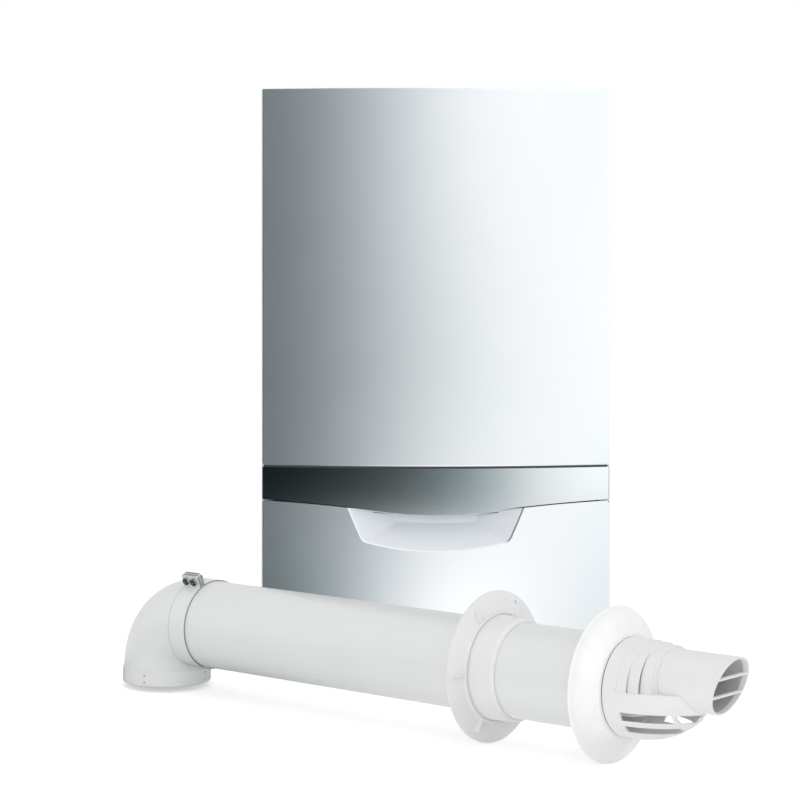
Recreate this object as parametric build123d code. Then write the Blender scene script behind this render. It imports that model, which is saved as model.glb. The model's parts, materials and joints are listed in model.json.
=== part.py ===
from build123d import *
import math
import os

# Wall-hung condensing gas boiler with its horizontal concentric flue kit.
# Millimetres. X to the right, Y towards the wall, Z up.
# Origin: the wall plane, on the casing's middle line, at the level of its lower edge.

# Casing, overall
casing_width = 440.0
casing_height = 720.0
casing_depth = 338.0
front_bow = 25.0
front_return = 20.0
shut_line = 0.8
seat_gap = 0.3
sheet = 1.0
front_sheet = 1.2
rear_sheet = 1.5
corner_round = 4.0

# Front: upper panel, trim band, folding flap, lower rim
panel_bottom = 245.0
panel_edge_round = 2.0
band_wall = 3.0
band_top_groove = 2.2
band_groove_depth = 2.5
band_end_z = 201.5
band_shoulder_x = 100.0
band_shoulder_z = 193.5
band_middle_z = 184.5
band_shoulder_swell = 1.2
flap_gap = 1.5
flap_wall = 3.0
flap_bottom = 30.0
rim_wall = 2.0
rim_end_z = 27.0
rim_middle_z = 21.0

# Grip recess in the flap
grip_depth = 25.0
grip_wall = 2.5
grip_top_z = 230.0
grip_mouth_half_top = 164.0
grip_mouth_half_low = 108.0
grip_mouth_corner_z = 143.0
grip_mouth_middle_z = 134.5
grip_mouth_round = 14.0
grip_back_half_top = 66.0
grip_back_half_low = 50.0
grip_back_z = 173.0
grip_back_round = 8.0
grip_proud = 3.0

# Flap pivots
pivot_inset = 12.5
pivot_z = 36.0
pivot_pin_radius = 2.5
pivot_clearance = 0.05
pivot_eye_radius = 4.0
pivot_arm_x = 90.0
pivot_arm_thickness = 6.0
pivot_side_gap = 1.5
pivot_post_depth = 8.0
pivot_ear_radius = 5.0
flap_lip_drop = 2.5
flap_lip_back = 16.0

# Rear frame, wall bracket and floor of the casing
rear_offset = 6.0
rear_flange = 20.0
side_flange = 12.0
top_flange = 15.0
bracket_plate = 2.5
bracket_width = 300.0
bracket_bottom = 650.0
bracket_top = 690.0
bracket_hook_x = 100.0
bracket_hook_width = 36.0
bracket_hook_rise = 12.0
bracket_hook_reach = 6.5
bracket_hole_x = 60.0
bracket_hole_z = 668.0
bracket_hole_radius = 4.5
hook_slot_height = 16.0
hook_slot_clearance = 2.0
driver_hole_radius = 14.0
floor_z = 20.0
floor_sheet = 1.5
floor_front_y = -286.0
screw_levels = (110.0, 360.0, 660.0)
screw_radius = 2.0
screw_head_radius = 4.0
screw_head_height = 2.2
screw_length = 9.0
screw_clearance = 0.1

# Water and gas connections, from left to right
connection_x = (-110.0, -65.0, 0.0, 65.0, 110.0)
connection_radius = (11.0, 7.5, 9.0, 7.5, 11.0)
connection_wall = 1.5
connection_y = -120.0
connection_bottom = 3.0
connection_top = 52.0
connection_nut_height = 15.0
connection_nut_margin = 6.0
connection_shoulder = 0.5
connection_hole_clearance = 0.5

# Flue socket in the roof of the casing
flue_y = -155.0
flue_outer_radius = 50.0
flue_inner_radius = 30.0
socket_clearance = 0.4
socket_wall = 2.0
socket_depth = 40.0
socket_flange_radius = 66.0
socket_flange_thickness = 2.0
duct_wall = 1.8
duct_x = -172.0
duct_low_z = 368.0
duct_high_z = 640.0
duct_bend = 31.0

# Heat exchanger, burner and fan
drum_x = -10.0
drum_z = 499.0
drum_radius = 106.0
drum_wall = 3.0
drum_back_y = -102.0
drum_front_y = -232.0
drum_rib_count = 3
drum_rib_width = 4.0
drum_rib_height = 3.0
sump_half_width = 50.0
sump_bottom_z = 334.0
sump_drain_radius = 11.0
coil_turns = 4
coil_inner_radius = 58.0
coil_outer_radius = 100.0
coil_scallop = 5.0
coil_front_gap = 2.0
door_thickness = 12.0
door_radius = 110.0
door_bolt_radius = 3.0
door_bolt_count = 6
inlet_box_half = 31.0
inlet_box_depth = 42.0
inlet_box_wall = 3.0
burner_radius = 34.0
burner_length = 88.0
burner_wall = 1.5
fan_x = 125.0
fan_z = 461.0
fan_radius = 60.0
fan_depth = 44.0
fan_wall = 3.0
fan_back_y = -256.0
fan_outlet_radius = 19.0
fan_inlet_radius = 20.0
impeller_radius = 46.0
impeller_depth = 20.0
impeller_blades = 14
motor_radius = 34.0
motor_depth = 22.0
shaft_radius = 3.0
shaft_clearance = 0.05

# Gas train and air intake
intake_radius = 24.0
intake_wall = 2.0
intake_top_z = 640.0
intake_y = -212.0
valve_z = 350.0
valve_width = 60.0
valve_depth = 60.0
valve_height = 56.0
valve_y = -205.0
gas_pipe_bend = 16.0
gas_pipe_wall = 1.0
gas_pipe_level = 240.0

# Water side
vessel_x = 0.0
vessel_z = 530.0
vessel_radius = 164.0
vessel_depth = 84.0
vessel_seam_radius = 168.0
vessel_seam = 6.0
vessel_wall = 1.5
block_low_z = 58.0
block_high_z = 108.0
block_half_depth = 30.0
block_inner_x = 45.0
block_outer_x = 135.0
plate_pack_half = 92.0
plate_pack_depth = 48.0
plate_pack_low = 50.0
plate_pack_high = 126.0
plate_count = 6
pump_x = 118.0
pump_z = 168.0
pump_radius = 44.0
pump_depth = 46.0
pump_wall = 5.0
pump_motor_radius = 40.0
pump_motor_depth = 50.0
pump_impeller_radius = 30.0
pump_outlet_z = 228.0
heating_pipe_radius = 9.0
heating_pipe_wall = 1.0
flow_pipe_x = -75.0
flow_pipe_y = -116.0
flow_port_z = 399.0
flow_port_radius = 12.0
return_pipe_y = -113.0
diverter_x = -115.0
diverter_radius = 18.0
diverter_height = 62.0
spindle_radius = 3.0
safety_x = 152.0
trap_x = -36.0
trap_radius = 26.0
trap_bottom = 190.0

# Electronics box and control panel behind the flap
box_half_width = 192.0
box_bottom = 46.0
box_top = 176.0
box_front_y = -280.0
box_depth = 64.0
box_wall = 2.5
fascia_front_y = -287.0
fascia_wall = 3.0
fascia_round = 12.0
board_y = -262.0
board_thickness = 1.6
display_width = 96.0
display_height = 48.0
display_z = 130.0
knob_x = 150.0
knob_z = 112.0
knob_radius = 21.0
knob_height = 13.0
knob_well_gap = 1.5
gauge_x = -88.0
gauge_z = 112.0
gauge_radius = 19.0
key_z = 86.0
key_width = 18.0
key_height = 9.0
key_x = (-39.0, -13.0, 13.0, 39.0)
key_proud = 2.2
key_travel = 1.5
key_clearance = 0.3
round_key_x = 88.0
round_key_z = (132.0, 108.0)
round_key_radius = 6.0

# Flue kit lying in front of the boiler
kit_turn = -40.0
kit_origin_x = -322.9
kit_origin_y = -475.7
kit_axis_z = 80.0
pipe_radius = 50.0
pipe_wall = 1.5
inner_pipe_radius = 30.0
inner_pipe_wall = 1.8
elbow_bend = 56.0
elbow_radius = 50.8
elbow_wall = 1.8
elbow_collar_radius = 52.2
elbow_mouth = 74.0
elbow_spigot = 26.0
elbow_spigot_wall = 1.5
elbow_step = 3.0
clamp_overlap = 1.5
clamp_width = 26.0
clamp_band = 0.8
clamp_turn = 24.0
clamp_ear_height = 15.0
clamp_ear_thickness = 2.0
clamp_ear_gap = 3.0
clamp_screw_radius = 2.5
rosette_radius = 80.0
inner_rosette_at = 494.5
rosette_plate = 3.0
rosette_neck_radius = 55.0
rosette_ring_height = 4.0
rosette_gusset = 2.0
rosette_gusset_count = 6
rosette_neck_length = 38.0
rosette_grip_clearance = 0.4
outer_rosette_at = 647.5
outer_rosette_dish = 20.0
head_start = 668.0
head_radius = 50.5
head_collar = 15.0
head_nose = 80.0
head_tip_radius = 30.0
head_wall = 2.0
head_step_length = 12.0
outlet_rise = 15.0
outlet_lead = 5.0
outlet_end = 786.5
outlet_slope = 20.0
outlet_sleeve = 38.0
outlet_bar = 2.0
outlet_bar_spacing = 19.0
grille_rows = ((-25.0, -16.0), (-38.0, -31.0))
grille_rib = 3.0
spacer_stations = (120.0, 380.0, 610.0)

half_width = casing_width / 2
side_y = front_bow - casing_depth
joint_y = side_y + front_return
bow_radius = (half_width**2 + front_bow**2) / (2 * front_bow)
bow_centre_y = bow_radius - casing_depth
pivot_y = pivot_inset - casing_depth
inside_half = half_width - sheet - seat_gap
rear_y = -rear_offset - rear_sheet
socket_low_z = casing_height - sheet - seat_gap - socket_depth
trap_y = flue_y
plate_pack_front = connection_y + block_half_depth + 6
gas_pipe_radius = connection_radius[2]
intake_bend = intake_radius + 6
clamp_start = elbow_bend - clamp_overlap


# Shared shapes

def block(x, y, z):
    """Box between two limits on each axis."""
    size = (abs(x[1] - x[0]), abs(y[1] - y[0]), abs(z[1] - z[0]))
    middle = ((x[0] + x[1]) / 2, (y[0] + y[1]) / 2, (z[0] + z[1]) / 2)
    return Pos(*middle) * Box(*size)


def rod(start, direction, radius, length):
    """Cylinder from a start point along a direction."""
    base = (Align.CENTER, Align.CENTER, Align.MIN)
    return Plane(origin=start, z_dir=direction) * Cylinder(radius, length, align=base)


def sleeve(start, direction, outer, inner, length):
    """Open tube from a start point along a direction."""
    return rod(start, direction, outer, length) - rod(start, direction, inner, length)


def rounded_block(x, y, z, radius, direction=(0, 1, 0)):
    """Box with its four edges along one axis rounded."""
    axis = Axis((0, 0, 0), direction)
    return fillet(block(x, y, z).edges().filter_by(axis), radius)


def hexagon(start, direction, across, length):
    """Hexagonal prism of a size across flats."""
    face = Plane(origin=start, z_dir=direction) * RegularPolygon(across / 2, 6, major_radius=False)
    return extrude(face, amount=length)


def pipe_run(points, radius, bend):
    """Solid round run: straight lengths with a part of a ring at each corner."""
    places = [Vector(*point) for point in points]
    start = places[0]
    pieces = []
    for index, corner in enumerate(places[1:-1], 1):
        before = (corner - places[index - 1]).normalized()
        after = (places[index + 1] - corner).normalized()
        turn = before.get_angle(after)
        cut = bend * math.tan(math.radians(turn / 2))
        tangent = corner - before * cut
        inwards = (after - before * before.dot(after)).normalized()
        hinge = Axis(tangent + inwards * bend, before.cross(after))
        section = Plane(origin=tangent, z_dir=before) * Circle(radius)
        pieces.append(rod(start, before, radius, (tangent - start).length))
        pieces.append(revolve(section, axis=hinge, revolution_arc=turn))
        start = corner + after * cut
    last = places[-1] - start
    run = rod(start, last.normalized(), radius, last.length)
    for piece in pieces:
        run += piece
    return run


def routed_pipe(points, outer, wall, bend):
    """Tube along straight runs with rounded corners."""
    return pipe_run(points, outer, bend) - pipe_run(points, outer - wall, bend)


def turned(points, start, direction):
    """Body of revolution from (radius, distance) points about an axis."""
    plane = Plane(origin=start, x_dir=(1, 0, 0), z_dir=direction)
    outline = make_face(Polyline(*[(r, 0, d) for r, d in points], close=True))
    return plane * revolve(outline, axis=Axis.Z)


def group(solids):
    """Several separate solids in one node."""
    return Compound(children=[part.solid() for part in solids])


# Casing

def bow_outline(inset, back_y):
    """Plan outline between the bowed front and a straight back line."""
    half = half_width - inset
    radius = bow_radius - inset
    end_y = bow_centre_y - math.sqrt(radius**2 - half**2)
    arc = ThreePointArc((-half, end_y), (0, bow_centre_y - radius), (half, end_y))
    back = Polyline((half, end_y), (half, back_y), (-half, back_y), (-half, end_y))
    face = make_face([arc, back])
    corners = face.vertices().sort_by(Axis.Y)[:2]
    return fillet(corners, max(corner_round - inset, 0.5))


def bow_block(inset, low, high, back_y=joint_y):
    """Solid behind the bowed front, between two levels."""
    return extrude(Pos(0, 0, low) * bow_outline(inset, back_y), amount=high - low)


def band_edge(drop):
    """Lower edge of the trim band from left to right, lowered by a distance."""
    shoulder = (band_shoulder_x, band_shoulder_z - drop)
    end = (half_width + 10, band_end_z + 1 - drop)
    swell_x = (shoulder[0] + end[0]) / 2
    swell_z = (shoulder[1] + end[1]) / 2 + band_shoulder_swell
    left = ThreePointArc((-end[0], end[1]), (-swell_x, swell_z), (-shoulder[0], shoulder[1]))
    middle = ThreePointArc((-shoulder[0], shoulder[1]), (0, band_middle_z - drop), shoulder)
    right = ThreePointArc(shoulder, (swell_x, swell_z), end)
    return [left, middle, right]


def band_side(drop, level):
    """Upright sheet between the band's lower edge and a level, across the whole front."""
    edges = band_edge(drop)
    left = edges[0] @ 0
    right = edges[-1] @ 1
    rest = Polyline((right.X, right.Y), (right.X, level), (left.X, level), (left.X, left.Y))
    face = make_face(edges + [rest])
    return extrude(Plane.XZ.offset(-joint_y / 2) * face, amount=casing_depth, both=True)


def front_panel():
    """Upper front: one bowed sheet with turned edges all round."""
    skin = bow_block(0, panel_bottom, casing_height)
    rims = skin.edges().filter_by(lambda e: e.center().Y < joint_y - 1)
    rims = rims.filter_by(lambda e: abs(e.bounding_box().size.Z) < 0.1)
    skin = fillet(rims, panel_edge_round)
    low = panel_bottom + front_sheet
    high = casing_height - front_sheet
    return skin - bow_block(front_sheet, low, high, joint_y + 1)


def trim_band():
    """Dark band: open moulding with a set-back tongue under the upper panel."""
    low = band_middle_z - 5
    shoulder = panel_bottom - band_top_groove
    skin = bow_block(0, low, shoulder) & band_side(0, casing_height)
    skin += bow_block(band_groove_depth, shoulder, panel_bottom)
    inner = bow_block(band_wall + band_groove_depth, low, panel_bottom - 2 * band_wall, joint_y + 1)
    inner = inner & band_side(-band_wall, casing_height)
    return skin - inner


def grip_section(y, half_top, half_low, corner_z, middle_z, radius, grow):
    """Outline of the grip recess on one upright plane."""
    top = [(half_top + grow, grip_top_z), (-half_top - grow, grip_top_z)]
    low_left = (-half_low - grow, corner_z - grow)
    low_right = (half_low + grow, corner_z - grow)
    sides = Polyline(low_right, top[0], top[1], low_left)
    floor = ThreePointArc(low_left, (0, middle_z - grow), low_right)
    face = make_face([sides, floor])
    corners = face.vertices().sort_by(Axis.Y)[:2]
    return Plane(origin=(0, y, 0), x_dir=(1, 0, 0), z_dir=(0, -1, 0)) * fillet(corners, radius)


def grip_scoop(grow):
    """Tapering scoop of the grip recess, grown by a wall."""
    mouth_y = -casing_depth - grip_proud
    back_y = -casing_depth + grip_depth + grow
    mouth = grip_section(mouth_y, grip_mouth_half_top, grip_mouth_half_low, grip_mouth_corner_z,
                         grip_mouth_middle_z, grip_mouth_round, grow)
    back = grip_section(back_y, grip_back_half_top, grip_back_half_low, grip_back_z,
                        grip_back_z - 1, grip_back_round, grow)
    return loft([mouth, back], ruled=True)


def face_y(x):
    """Depth of the bowed front at a distance from the middle."""
    return bow_centre_y - math.sqrt(bow_radius**2 - x**2)


def flap_ears(side):
    """Pair of ears that carry one pivot pin, with the slot for the fixed arm between them."""
    slot = pivot_arm_thickness / 2 + pivot_side_gap
    reach = slot + flap_wall
    middle = side * pivot_arm_x
    wide = (middle - reach, middle + reach)
    between = (middle - slot, middle + slot)
    start = (wide[0], pivot_y, pivot_z)
    ears = block(wide, (face_y(pivot_arm_x + reach) + 1, pivot_y), (flap_bottom + 1, pivot_z + pivot_ear_radius))
    ears += block(wide, (pivot_y - 1, pivot_y + pivot_ear_radius), (flap_bottom + 1, pivot_z))
    ears += rod(start, (1, 0, 0), pivot_ear_radius, 2 * reach)
    slot_y = (face_y(pivot_arm_x + slot) + flap_wall, joint_y + 1)
    free = block(between, slot_y, (flap_bottom - 1, pivot_z + pivot_ear_radius + 1))
    return ears, free, rod(start, (1, 0, 0), pivot_pin_radius, 2 * reach)


def front_flap():
    """Folding lower front: open shell with the grip recess and moulded pivot pins."""
    above = band_side(flap_gap, casing_height)
    lip_front = flap_lip_back - casing_depth
    above += band_side(flap_gap + flap_lip_drop, casing_height) & block(
        (-casing_width, casing_width), (lip_front, joint_y + 1), (0, casing_height))
    above_inner = band_side(flap_gap + flap_lip_drop + flap_wall, casing_height)
    skin = bow_block(0, flap_bottom, band_end_z + 10) - above
    inner = bow_block(flap_wall, flap_bottom + flap_wall, band_end_z + 10, joint_y + 1)
    shell = skin - (inner - above_inner)
    shell += grip_scoop(grip_wall) & skin
    shell -= grip_scoop(0)
    for side in (-1, 1):
        ears, free, pin = flap_ears(side)
        shell = shell + ears - free + pin
    return shell


def lower_rim():
    """Bottom edge of the front: low bowed strip with the two pivot arms."""
    strip = bow_block(0, 0, rim_end_z)
    strip -= bow_block(rim_wall, rim_wall, rim_end_z + 1, joint_y + 1)
    dip = ThreePointArc((-half_width - 1, rim_end_z), (0, rim_middle_z), (half_width + 1, rim_end_z))
    lid = Polyline((half_width + 1, rim_end_z), (half_width + 1, rim_end_z + 9),
                   (-half_width - 1, rim_end_z + 9), (-half_width - 1, rim_end_z))
    strip -= extrude(Plane.XZ.offset(-joint_y / 2) * make_face([dip, lid]),
                     amount=casing_depth, both=True)
    thick = pivot_arm_thickness / 2
    for side in (-1, 1):
        x = (side * (pivot_arm_x - thick), side * (pivot_arm_x + thick))
        start = (x[0], pivot_y, pivot_z)
        post_y = (joint_y - pivot_post_depth, joint_y)
        arm = block(x, post_y, (rim_wall / 2, pivot_z + pivot_eye_radius))
        arm += block(x, (pivot_y, joint_y), (pivot_z - pivot_eye_radius, pivot_z + pivot_eye_radius))
        arm += rod(start, (side, 0, 0), pivot_eye_radius, pivot_arm_thickness)
        arm -= rod(start, (side, 0, 0), pivot_pin_radius + pivot_clearance, pivot_arm_thickness)
        strip += arm
    return strip


def casing_screw(side, level, grow=0.0):
    """Countersunk screw through a side panel into the rear frame."""
    head = screw_head_radius + grow
    shank = screw_radius + grow
    depth = screw_head_height + grow
    outline = [(0, 0), (head, 0), (shank, depth), (shank, screw_length + grow), (0, screw_length + grow)]
    start = (side * half_width, -rear_flange / 2 - rear_offset, level)
    return Plane(origin=start, z_dir=(-side, 0, 0)) * revolve(
        make_face(Polyline(*[(r, 0, d) for r, d in outline], close=True)), axis=Axis.Z)


def casing_screws():
    """Six screws, three on each side."""
    return [casing_screw(side, level) for side in (-1, 1) for level in screw_levels]


def screw_holes():
    """Clearance cuts for the casing screws."""
    holes = Part()
    for side in (-1, 1):
        for level in screw_levels:
            holes += casing_screw(side, level, screw_clearance)
    return holes


def side_panel(side):
    """Flat side sheet with a turned front edge."""
    front_y = joint_y + shut_line
    panel = block((side * half_width, side * (half_width - sheet)), (front_y, 0), (0, casing_height))
    turned_x = (side * half_width, side * (half_width - side_flange))
    panel += block(turned_x, (front_y, front_y + sheet), (flap_bottom + 60, casing_height))
    return panel - screw_holes()


def rear_frame():
    """Back sheet of the casing with flanges, hanging slots and driver holes."""
    high = casing_height - sheet - seat_gap
    plate = block((-inside_half, inside_half), (-rear_offset, rear_y), (0, high))
    back = -rear_offset
    front = rear_y - rear_flange
    plate += block((-inside_half, inside_half), (back, front), (high - rear_sheet, high))
    for side in (-1, 1):
        plate += block((side * inside_half, side * (inside_half - rear_sheet)), (back, front), (0, high))
    for x in (-bracket_hook_x, bracket_hook_x):
        half = bracket_hook_width / 2 + hook_slot_clearance
        slot_z = (bracket_top - hook_slot_height, bracket_top)
        plate -= block((x - half, x + half), (0, rear_y - 1), slot_z)
    for x in (-bracket_hole_x, bracket_hole_x):
        plate -= rod((x, 0, bracket_hole_z), (0, -1, 0), driver_hole_radius, rear_offset + 3)
    return plate - screw_holes()


def wall_bracket():
    """Rail that is screwed to the wall, with two upturned hooks."""
    rail = block((-bracket_width / 2, bracket_width / 2), (0, -bracket_plate), (bracket_bottom, bracket_top))
    reach = -rear_offset - rear_sheet - bracket_hook_reach
    for x in (-bracket_hook_x, bracket_hook_x):
        half = bracket_hook_width / 2
        hook = (x - half, x + half)
        rail += block(hook, (0, reach), (bracket_top - bracket_plate, bracket_top))
        rail += block(hook, (reach + bracket_plate, reach), (bracket_top, bracket_top + bracket_hook_rise))
    for x in (-bracket_hole_x, bracket_hole_x):
        rail -= rod((x, 1, bracket_hole_z), (0, -1, 0), bracket_hole_radius, bracket_plate + 2)
    return rail


def top_panel():
    """Roof sheet with turned-down edges and the flue hole."""
    front_y = joint_y + shut_line + sheet + seat_gap
    panel = block((-inside_half, inside_half), (front_y, 0), (casing_height - sheet, casing_height))
    low = casing_height - top_flange
    panel += block((-inside_half, inside_half), (front_y, front_y + sheet), (low, casing_height))
    rear_limit = rear_y - rear_flange - seat_gap
    for side in (-1, 1):
        edge = (side * inside_half, side * (inside_half - sheet))
        panel += block(edge, (front_y, rear_limit), (low, casing_height))
    hole = flue_outer_radius + socket_clearance + socket_wall
    return panel - rod((0, flue_y, casing_height - 2), (0, 0, 1), hole, 4)


def bottom_plate():
    """Floor sheet with holes for the pipes and the condensate drain."""
    high = floor_z + floor_sheet
    half = inside_half - rear_sheet - seat_gap
    plate = block((-half, half), (rear_y - seat_gap, floor_front_y), (floor_z, high))
    for side in (-1, 1):
        edge = (side * half, side * (half - floor_sheet))
        plate += block(edge, (rear_y - seat_gap, floor_front_y), (floor_z, floor_z + top_flange))
    for x, radius in zip(connection_x, connection_radius):
        hole = radius - connection_shoulder + connection_hole_clearance
        plate -= rod((x, connection_y, floor_z - 1), (0, 0, 1), hole, 4)
    drain = sump_drain_radius - connection_shoulder + connection_hole_clearance
    return plate - rod((trap_x, trap_y, floor_z - 1), (0, 0, 1), drain, 4)


# Combustion side

def flue_socket():
    """Concentric socket under the roof that takes the flue elbow."""
    low = socket_low_z
    top = low + socket_depth
    outer = flue_outer_radius + socket_clearance
    inner = flue_inner_radius + socket_clearance
    socket = sleeve((0, flue_y, low), (0, 0, 1), outer + socket_wall, outer, socket_depth)
    socket += sleeve((0, flue_y, top - socket_flange_thickness), (0, 0, 1), socket_flange_radius,
                     outer, socket_flange_thickness)
    socket += sleeve((0, flue_y, low), (0, 0, 1), inner + socket_wall, inner, socket_depth - 6)
    ring = rod((0, flue_y, low), (0, 0, 1), outer + 1, 10) - rod((0, flue_y, low), (0, 0, 1), inner + 1, 10)
    for turn in range(4):
        arm = block((inner, outer + 1), (-1.5, 1.5), (0, 8))
        socket += (Pos(0, flue_y, low) * Rot(0, 0, 45 + 90 * turn) * arm) & ring
    return socket


def flue_duct():
    """Pipe from the sump up the left side to the flue socket."""
    start_x = drum_x - sump_half_width - seat_gap
    points = ((start_x, flue_y, duct_low_z), (duct_x, flue_y, duct_low_z),
              (duct_x, flue_y, duct_high_z), (0, flue_y, duct_high_z), (0, flue_y, socket_low_z - seat_gap))
    return routed_pipe(points, flue_inner_radius, duct_wall, duct_bend)


def heat_exchanger_shell():
    """Ribbed drum, open at the front, with its condensate sump below."""
    start = (drum_x, drum_back_y, drum_z)
    depth = drum_back_y - drum_front_y
    drum = rod(start, (0, -1, 0), drum_radius, depth)
    pitch = depth / (drum_rib_count + 1)
    for index in range(drum_rib_count):
        rib_y = drum_back_y - pitch * (index + 1) + drum_rib_width / 2
        drum += rod((drum_x, rib_y, drum_z), (0, -1, 0), drum_radius + drum_rib_height, drum_rib_width)
    sump_x = (drum_x - sump_half_width, drum_x + sump_half_width)
    sump_y = (flue_y - 36, drum_back_y)
    outline = Plane.XY * Pos(drum_x, (sump_y[0] + sump_y[1]) / 2) * Rectangle(
        sump_x[1] - sump_x[0], sump_y[1] - sump_y[0])
    drum += extrude(Pos(0, 0, sump_bottom_z) * outline, amount=drum_z - drum_radius - sump_bottom_z + 20)
    inner_start = (drum_x, drum_back_y - drum_wall, drum_z)
    drum -= rod(inner_start, (0, -1, 0), drum_radius - drum_wall, depth)
    inner = Plane.XY * Pos(drum_x, (sump_y[0] + sump_y[1]) / 2) * Rectangle(
        sump_x[1] - sump_x[0] - 2 * drum_wall, sump_y[1] - sump_y[0] - 2 * drum_wall)
    drum -= extrude(Pos(0, 0, sump_bottom_z + drum_wall) * inner,
                    amount=drum_z - drum_radius - sump_bottom_z + 10)
    duct_hole = flue_inner_radius - duct_wall
    drum -= rod((sump_x[0] - 1, flue_y, duct_low_z), (1, 0, 0), duct_hole, drum_wall + 2)
    port = rod((flow_pipe_x, flow_pipe_y, flow_port_z), (0, 0, 1), flow_port_radius, 40)
    port -= rod(start, (0, -1, 0), drum_radius - drum_wall / 2, depth)
    drum += port
    drum += rod((trap_x, trap_y, sump_bottom_z), (0, 0, -1), sump_drain_radius, 14)
    return drum - rod((trap_x, trap_y, sump_bottom_z + 5), (0, 0, -1), sump_drain_radius - 2, 24)


def heat_exchanger_coil():
    """Stack of flattened tube turns inside the drum, in outline."""
    first = drum_back_y - drum_wall - seat_gap
    pitch = (first - drum_front_y - coil_front_gap) / coil_turns
    outer = []
    inner = []
    for index in range(coil_turns):
        base = pitch * index
        outer += [(coil_outer_radius - coil_scallop, base), (coil_outer_radius, base + pitch / 2)]
        inner += [(coil_inner_radius + coil_scallop, base), (coil_inner_radius, base + pitch / 2)]
    outer.append((coil_outer_radius - coil_scallop, pitch * coil_turns))
    inner.append((coil_inner_radius + coil_scallop, pitch * coil_turns))
    return turned(outer + inner[::-1], (drum_x, first, drum_z), (0, -1, 0))


def burner_door():
    """Front cover of the drum with its bolts and the mixture inlet box."""
    start = (drum_x, drum_front_y - seat_gap, drum_z)
    door = rod(start, (0, -1, 0), door_radius, door_thickness)
    front = drum_front_y - seat_gap - door_thickness
    half = inlet_box_half
    door += rounded_block((drum_x - half, drum_x + half), (front, front - inlet_box_depth),
                          (drum_z - half, drum_z + half), 8)
    inner = half - inlet_box_wall
    door -= block((drum_x - inner, drum_x + inner), (front + door_thickness + 1, front - inlet_box_depth + inlet_box_wall),
                  (drum_z - inner, drum_z + inner))
    outlet_y = fan_back_y - fan_depth / 2
    door -= rod((drum_x + inner - 1, outlet_y, drum_z), (1, 0, 0), fan_outlet_radius - 2, 9)
    for index in range(door_bolt_count):
        angle = math.radians(30 + 360 / door_bolt_count * index)
        x = drum_x + (door_radius - 10) * math.cos(angle)
        z = drum_z + (door_radius - 10) * math.sin(angle)
        door += hexagon((x, front + 1, z), (0, -1, 0), 2 * door_bolt_radius + 4, 6)
    return door


def burner():
    """Perforated burner cylinder with its closed end and flange."""
    flange_y = drum_front_y
    can = rod((drum_x, flange_y, drum_z), (0, 1, 0), burner_radius, burner_length)
    can -= rod((drum_x, flange_y, drum_z), (0, 1, 0), burner_radius - burner_wall, burner_length - burner_wall)
    can += sleeve((drum_x, flange_y, drum_z), (0, 1, 0), burner_radius + 12, burner_radius - 1, 2)
    return can


def ignition_electrode():
    """Ceramic igniter standing in the burner door."""
    x = drum_x - 66
    front = drum_front_y - seat_gap - door_thickness - seat_gap
    body = rod((x, front, drum_z + 30), (0, -1, 0), 9, 5)
    body += rod((x, front - 5, drum_z + 30), (0, -1, 0), 5, 24)
    return body + rod((x, front - 29, drum_z + 30), (0, -1, 0), 2, 8)


def fan_housing():
    """Snail-shell housing with its outlet pipe to the burner door."""
    front = fan_back_y - fan_depth
    start = (fan_x, fan_back_y, fan_z)
    shell = rod(start, (0, -1, 0), fan_radius, fan_depth)
    outlet_y = fan_back_y - fan_depth / 2
    outlet_x = drum_x + inlet_box_half + seat_gap
    length = fan_x - outlet_x
    duct = rod((outlet_x, outlet_y, drum_z), (1, 0, 0), fan_outlet_radius, length)
    cavity = rod((fan_x, fan_back_y - fan_wall, fan_z), (0, -1, 0), fan_radius - fan_wall, fan_depth - 2 * fan_wall)
    duct_bore = rod((outlet_x - 1, outlet_y, drum_z), (1, 0, 0), fan_outlet_radius - 2, length)
    shell = shell + duct - cavity - duct_bore
    shell -= rod((fan_x, fan_back_y + 1, fan_z), (0, -1, 0), fan_inlet_radius, fan_wall + 2)
    return shell - rod((fan_x, front + fan_wall + 1, fan_z), (0, -1, 0), 9, fan_wall + 2)


def fan_impeller():
    """Backplate with curved blades, turning on the motor shaft."""
    middle = fan_back_y - fan_depth / 2
    plate_y = middle - impeller_depth / 2
    wheel = rod((fan_x, plate_y, fan_z), (0, 1, 0), impeller_radius, 2)
    wheel += rod((fan_x, plate_y, fan_z), (0, 1, 0), 8, 12)
    blade = block((impeller_radius - 18, impeller_radius - 1), (0, impeller_depth), (-0.8, 0.8))
    for index in range(impeller_blades):
        angle = 360 / impeller_blades * index
        turn = Pos(fan_x, plate_y, fan_z) * Rot(0, angle, 0)
        wheel += turn * Pos(impeller_radius - 10, 0, 0) * Rot(0, 35, 0) * Pos(10 - impeller_radius, 0, 0) * blade
    return wheel - rod((fan_x, plate_y - 1, fan_z), (0, 1, 0), shaft_radius + shaft_clearance, impeller_depth + 2)


def fan_motor():
    """Motor on the front of the fan housing, with its shaft."""
    front = fan_back_y - fan_depth
    motor = rod((fan_x, front, fan_z), (0, -1, 0), motor_radius, motor_depth)
    motor = chamfer(motor.edges().sort_by(Axis.Y)[0], 3)
    middle = fan_back_y - fan_depth / 2
    length = (middle + impeller_depth / 2 - 6) - front
    return motor + rod((fan_x, front, fan_z), (0, 1, 0), shaft_radius, length)


def intake_points():
    """Centre line of the mixing pipe, from the fan back and then up."""
    return ((fan_x, fan_back_y + seat_gap, fan_z), (fan_x, intake_y, fan_z), (fan_x, intake_y, intake_top_z))


def air_intake_tube():
    """Mixing pipe on the back of the fan, rising as the intake silencer."""
    return routed_pipe(intake_points(), intake_radius, intake_wall, intake_bend)


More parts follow.
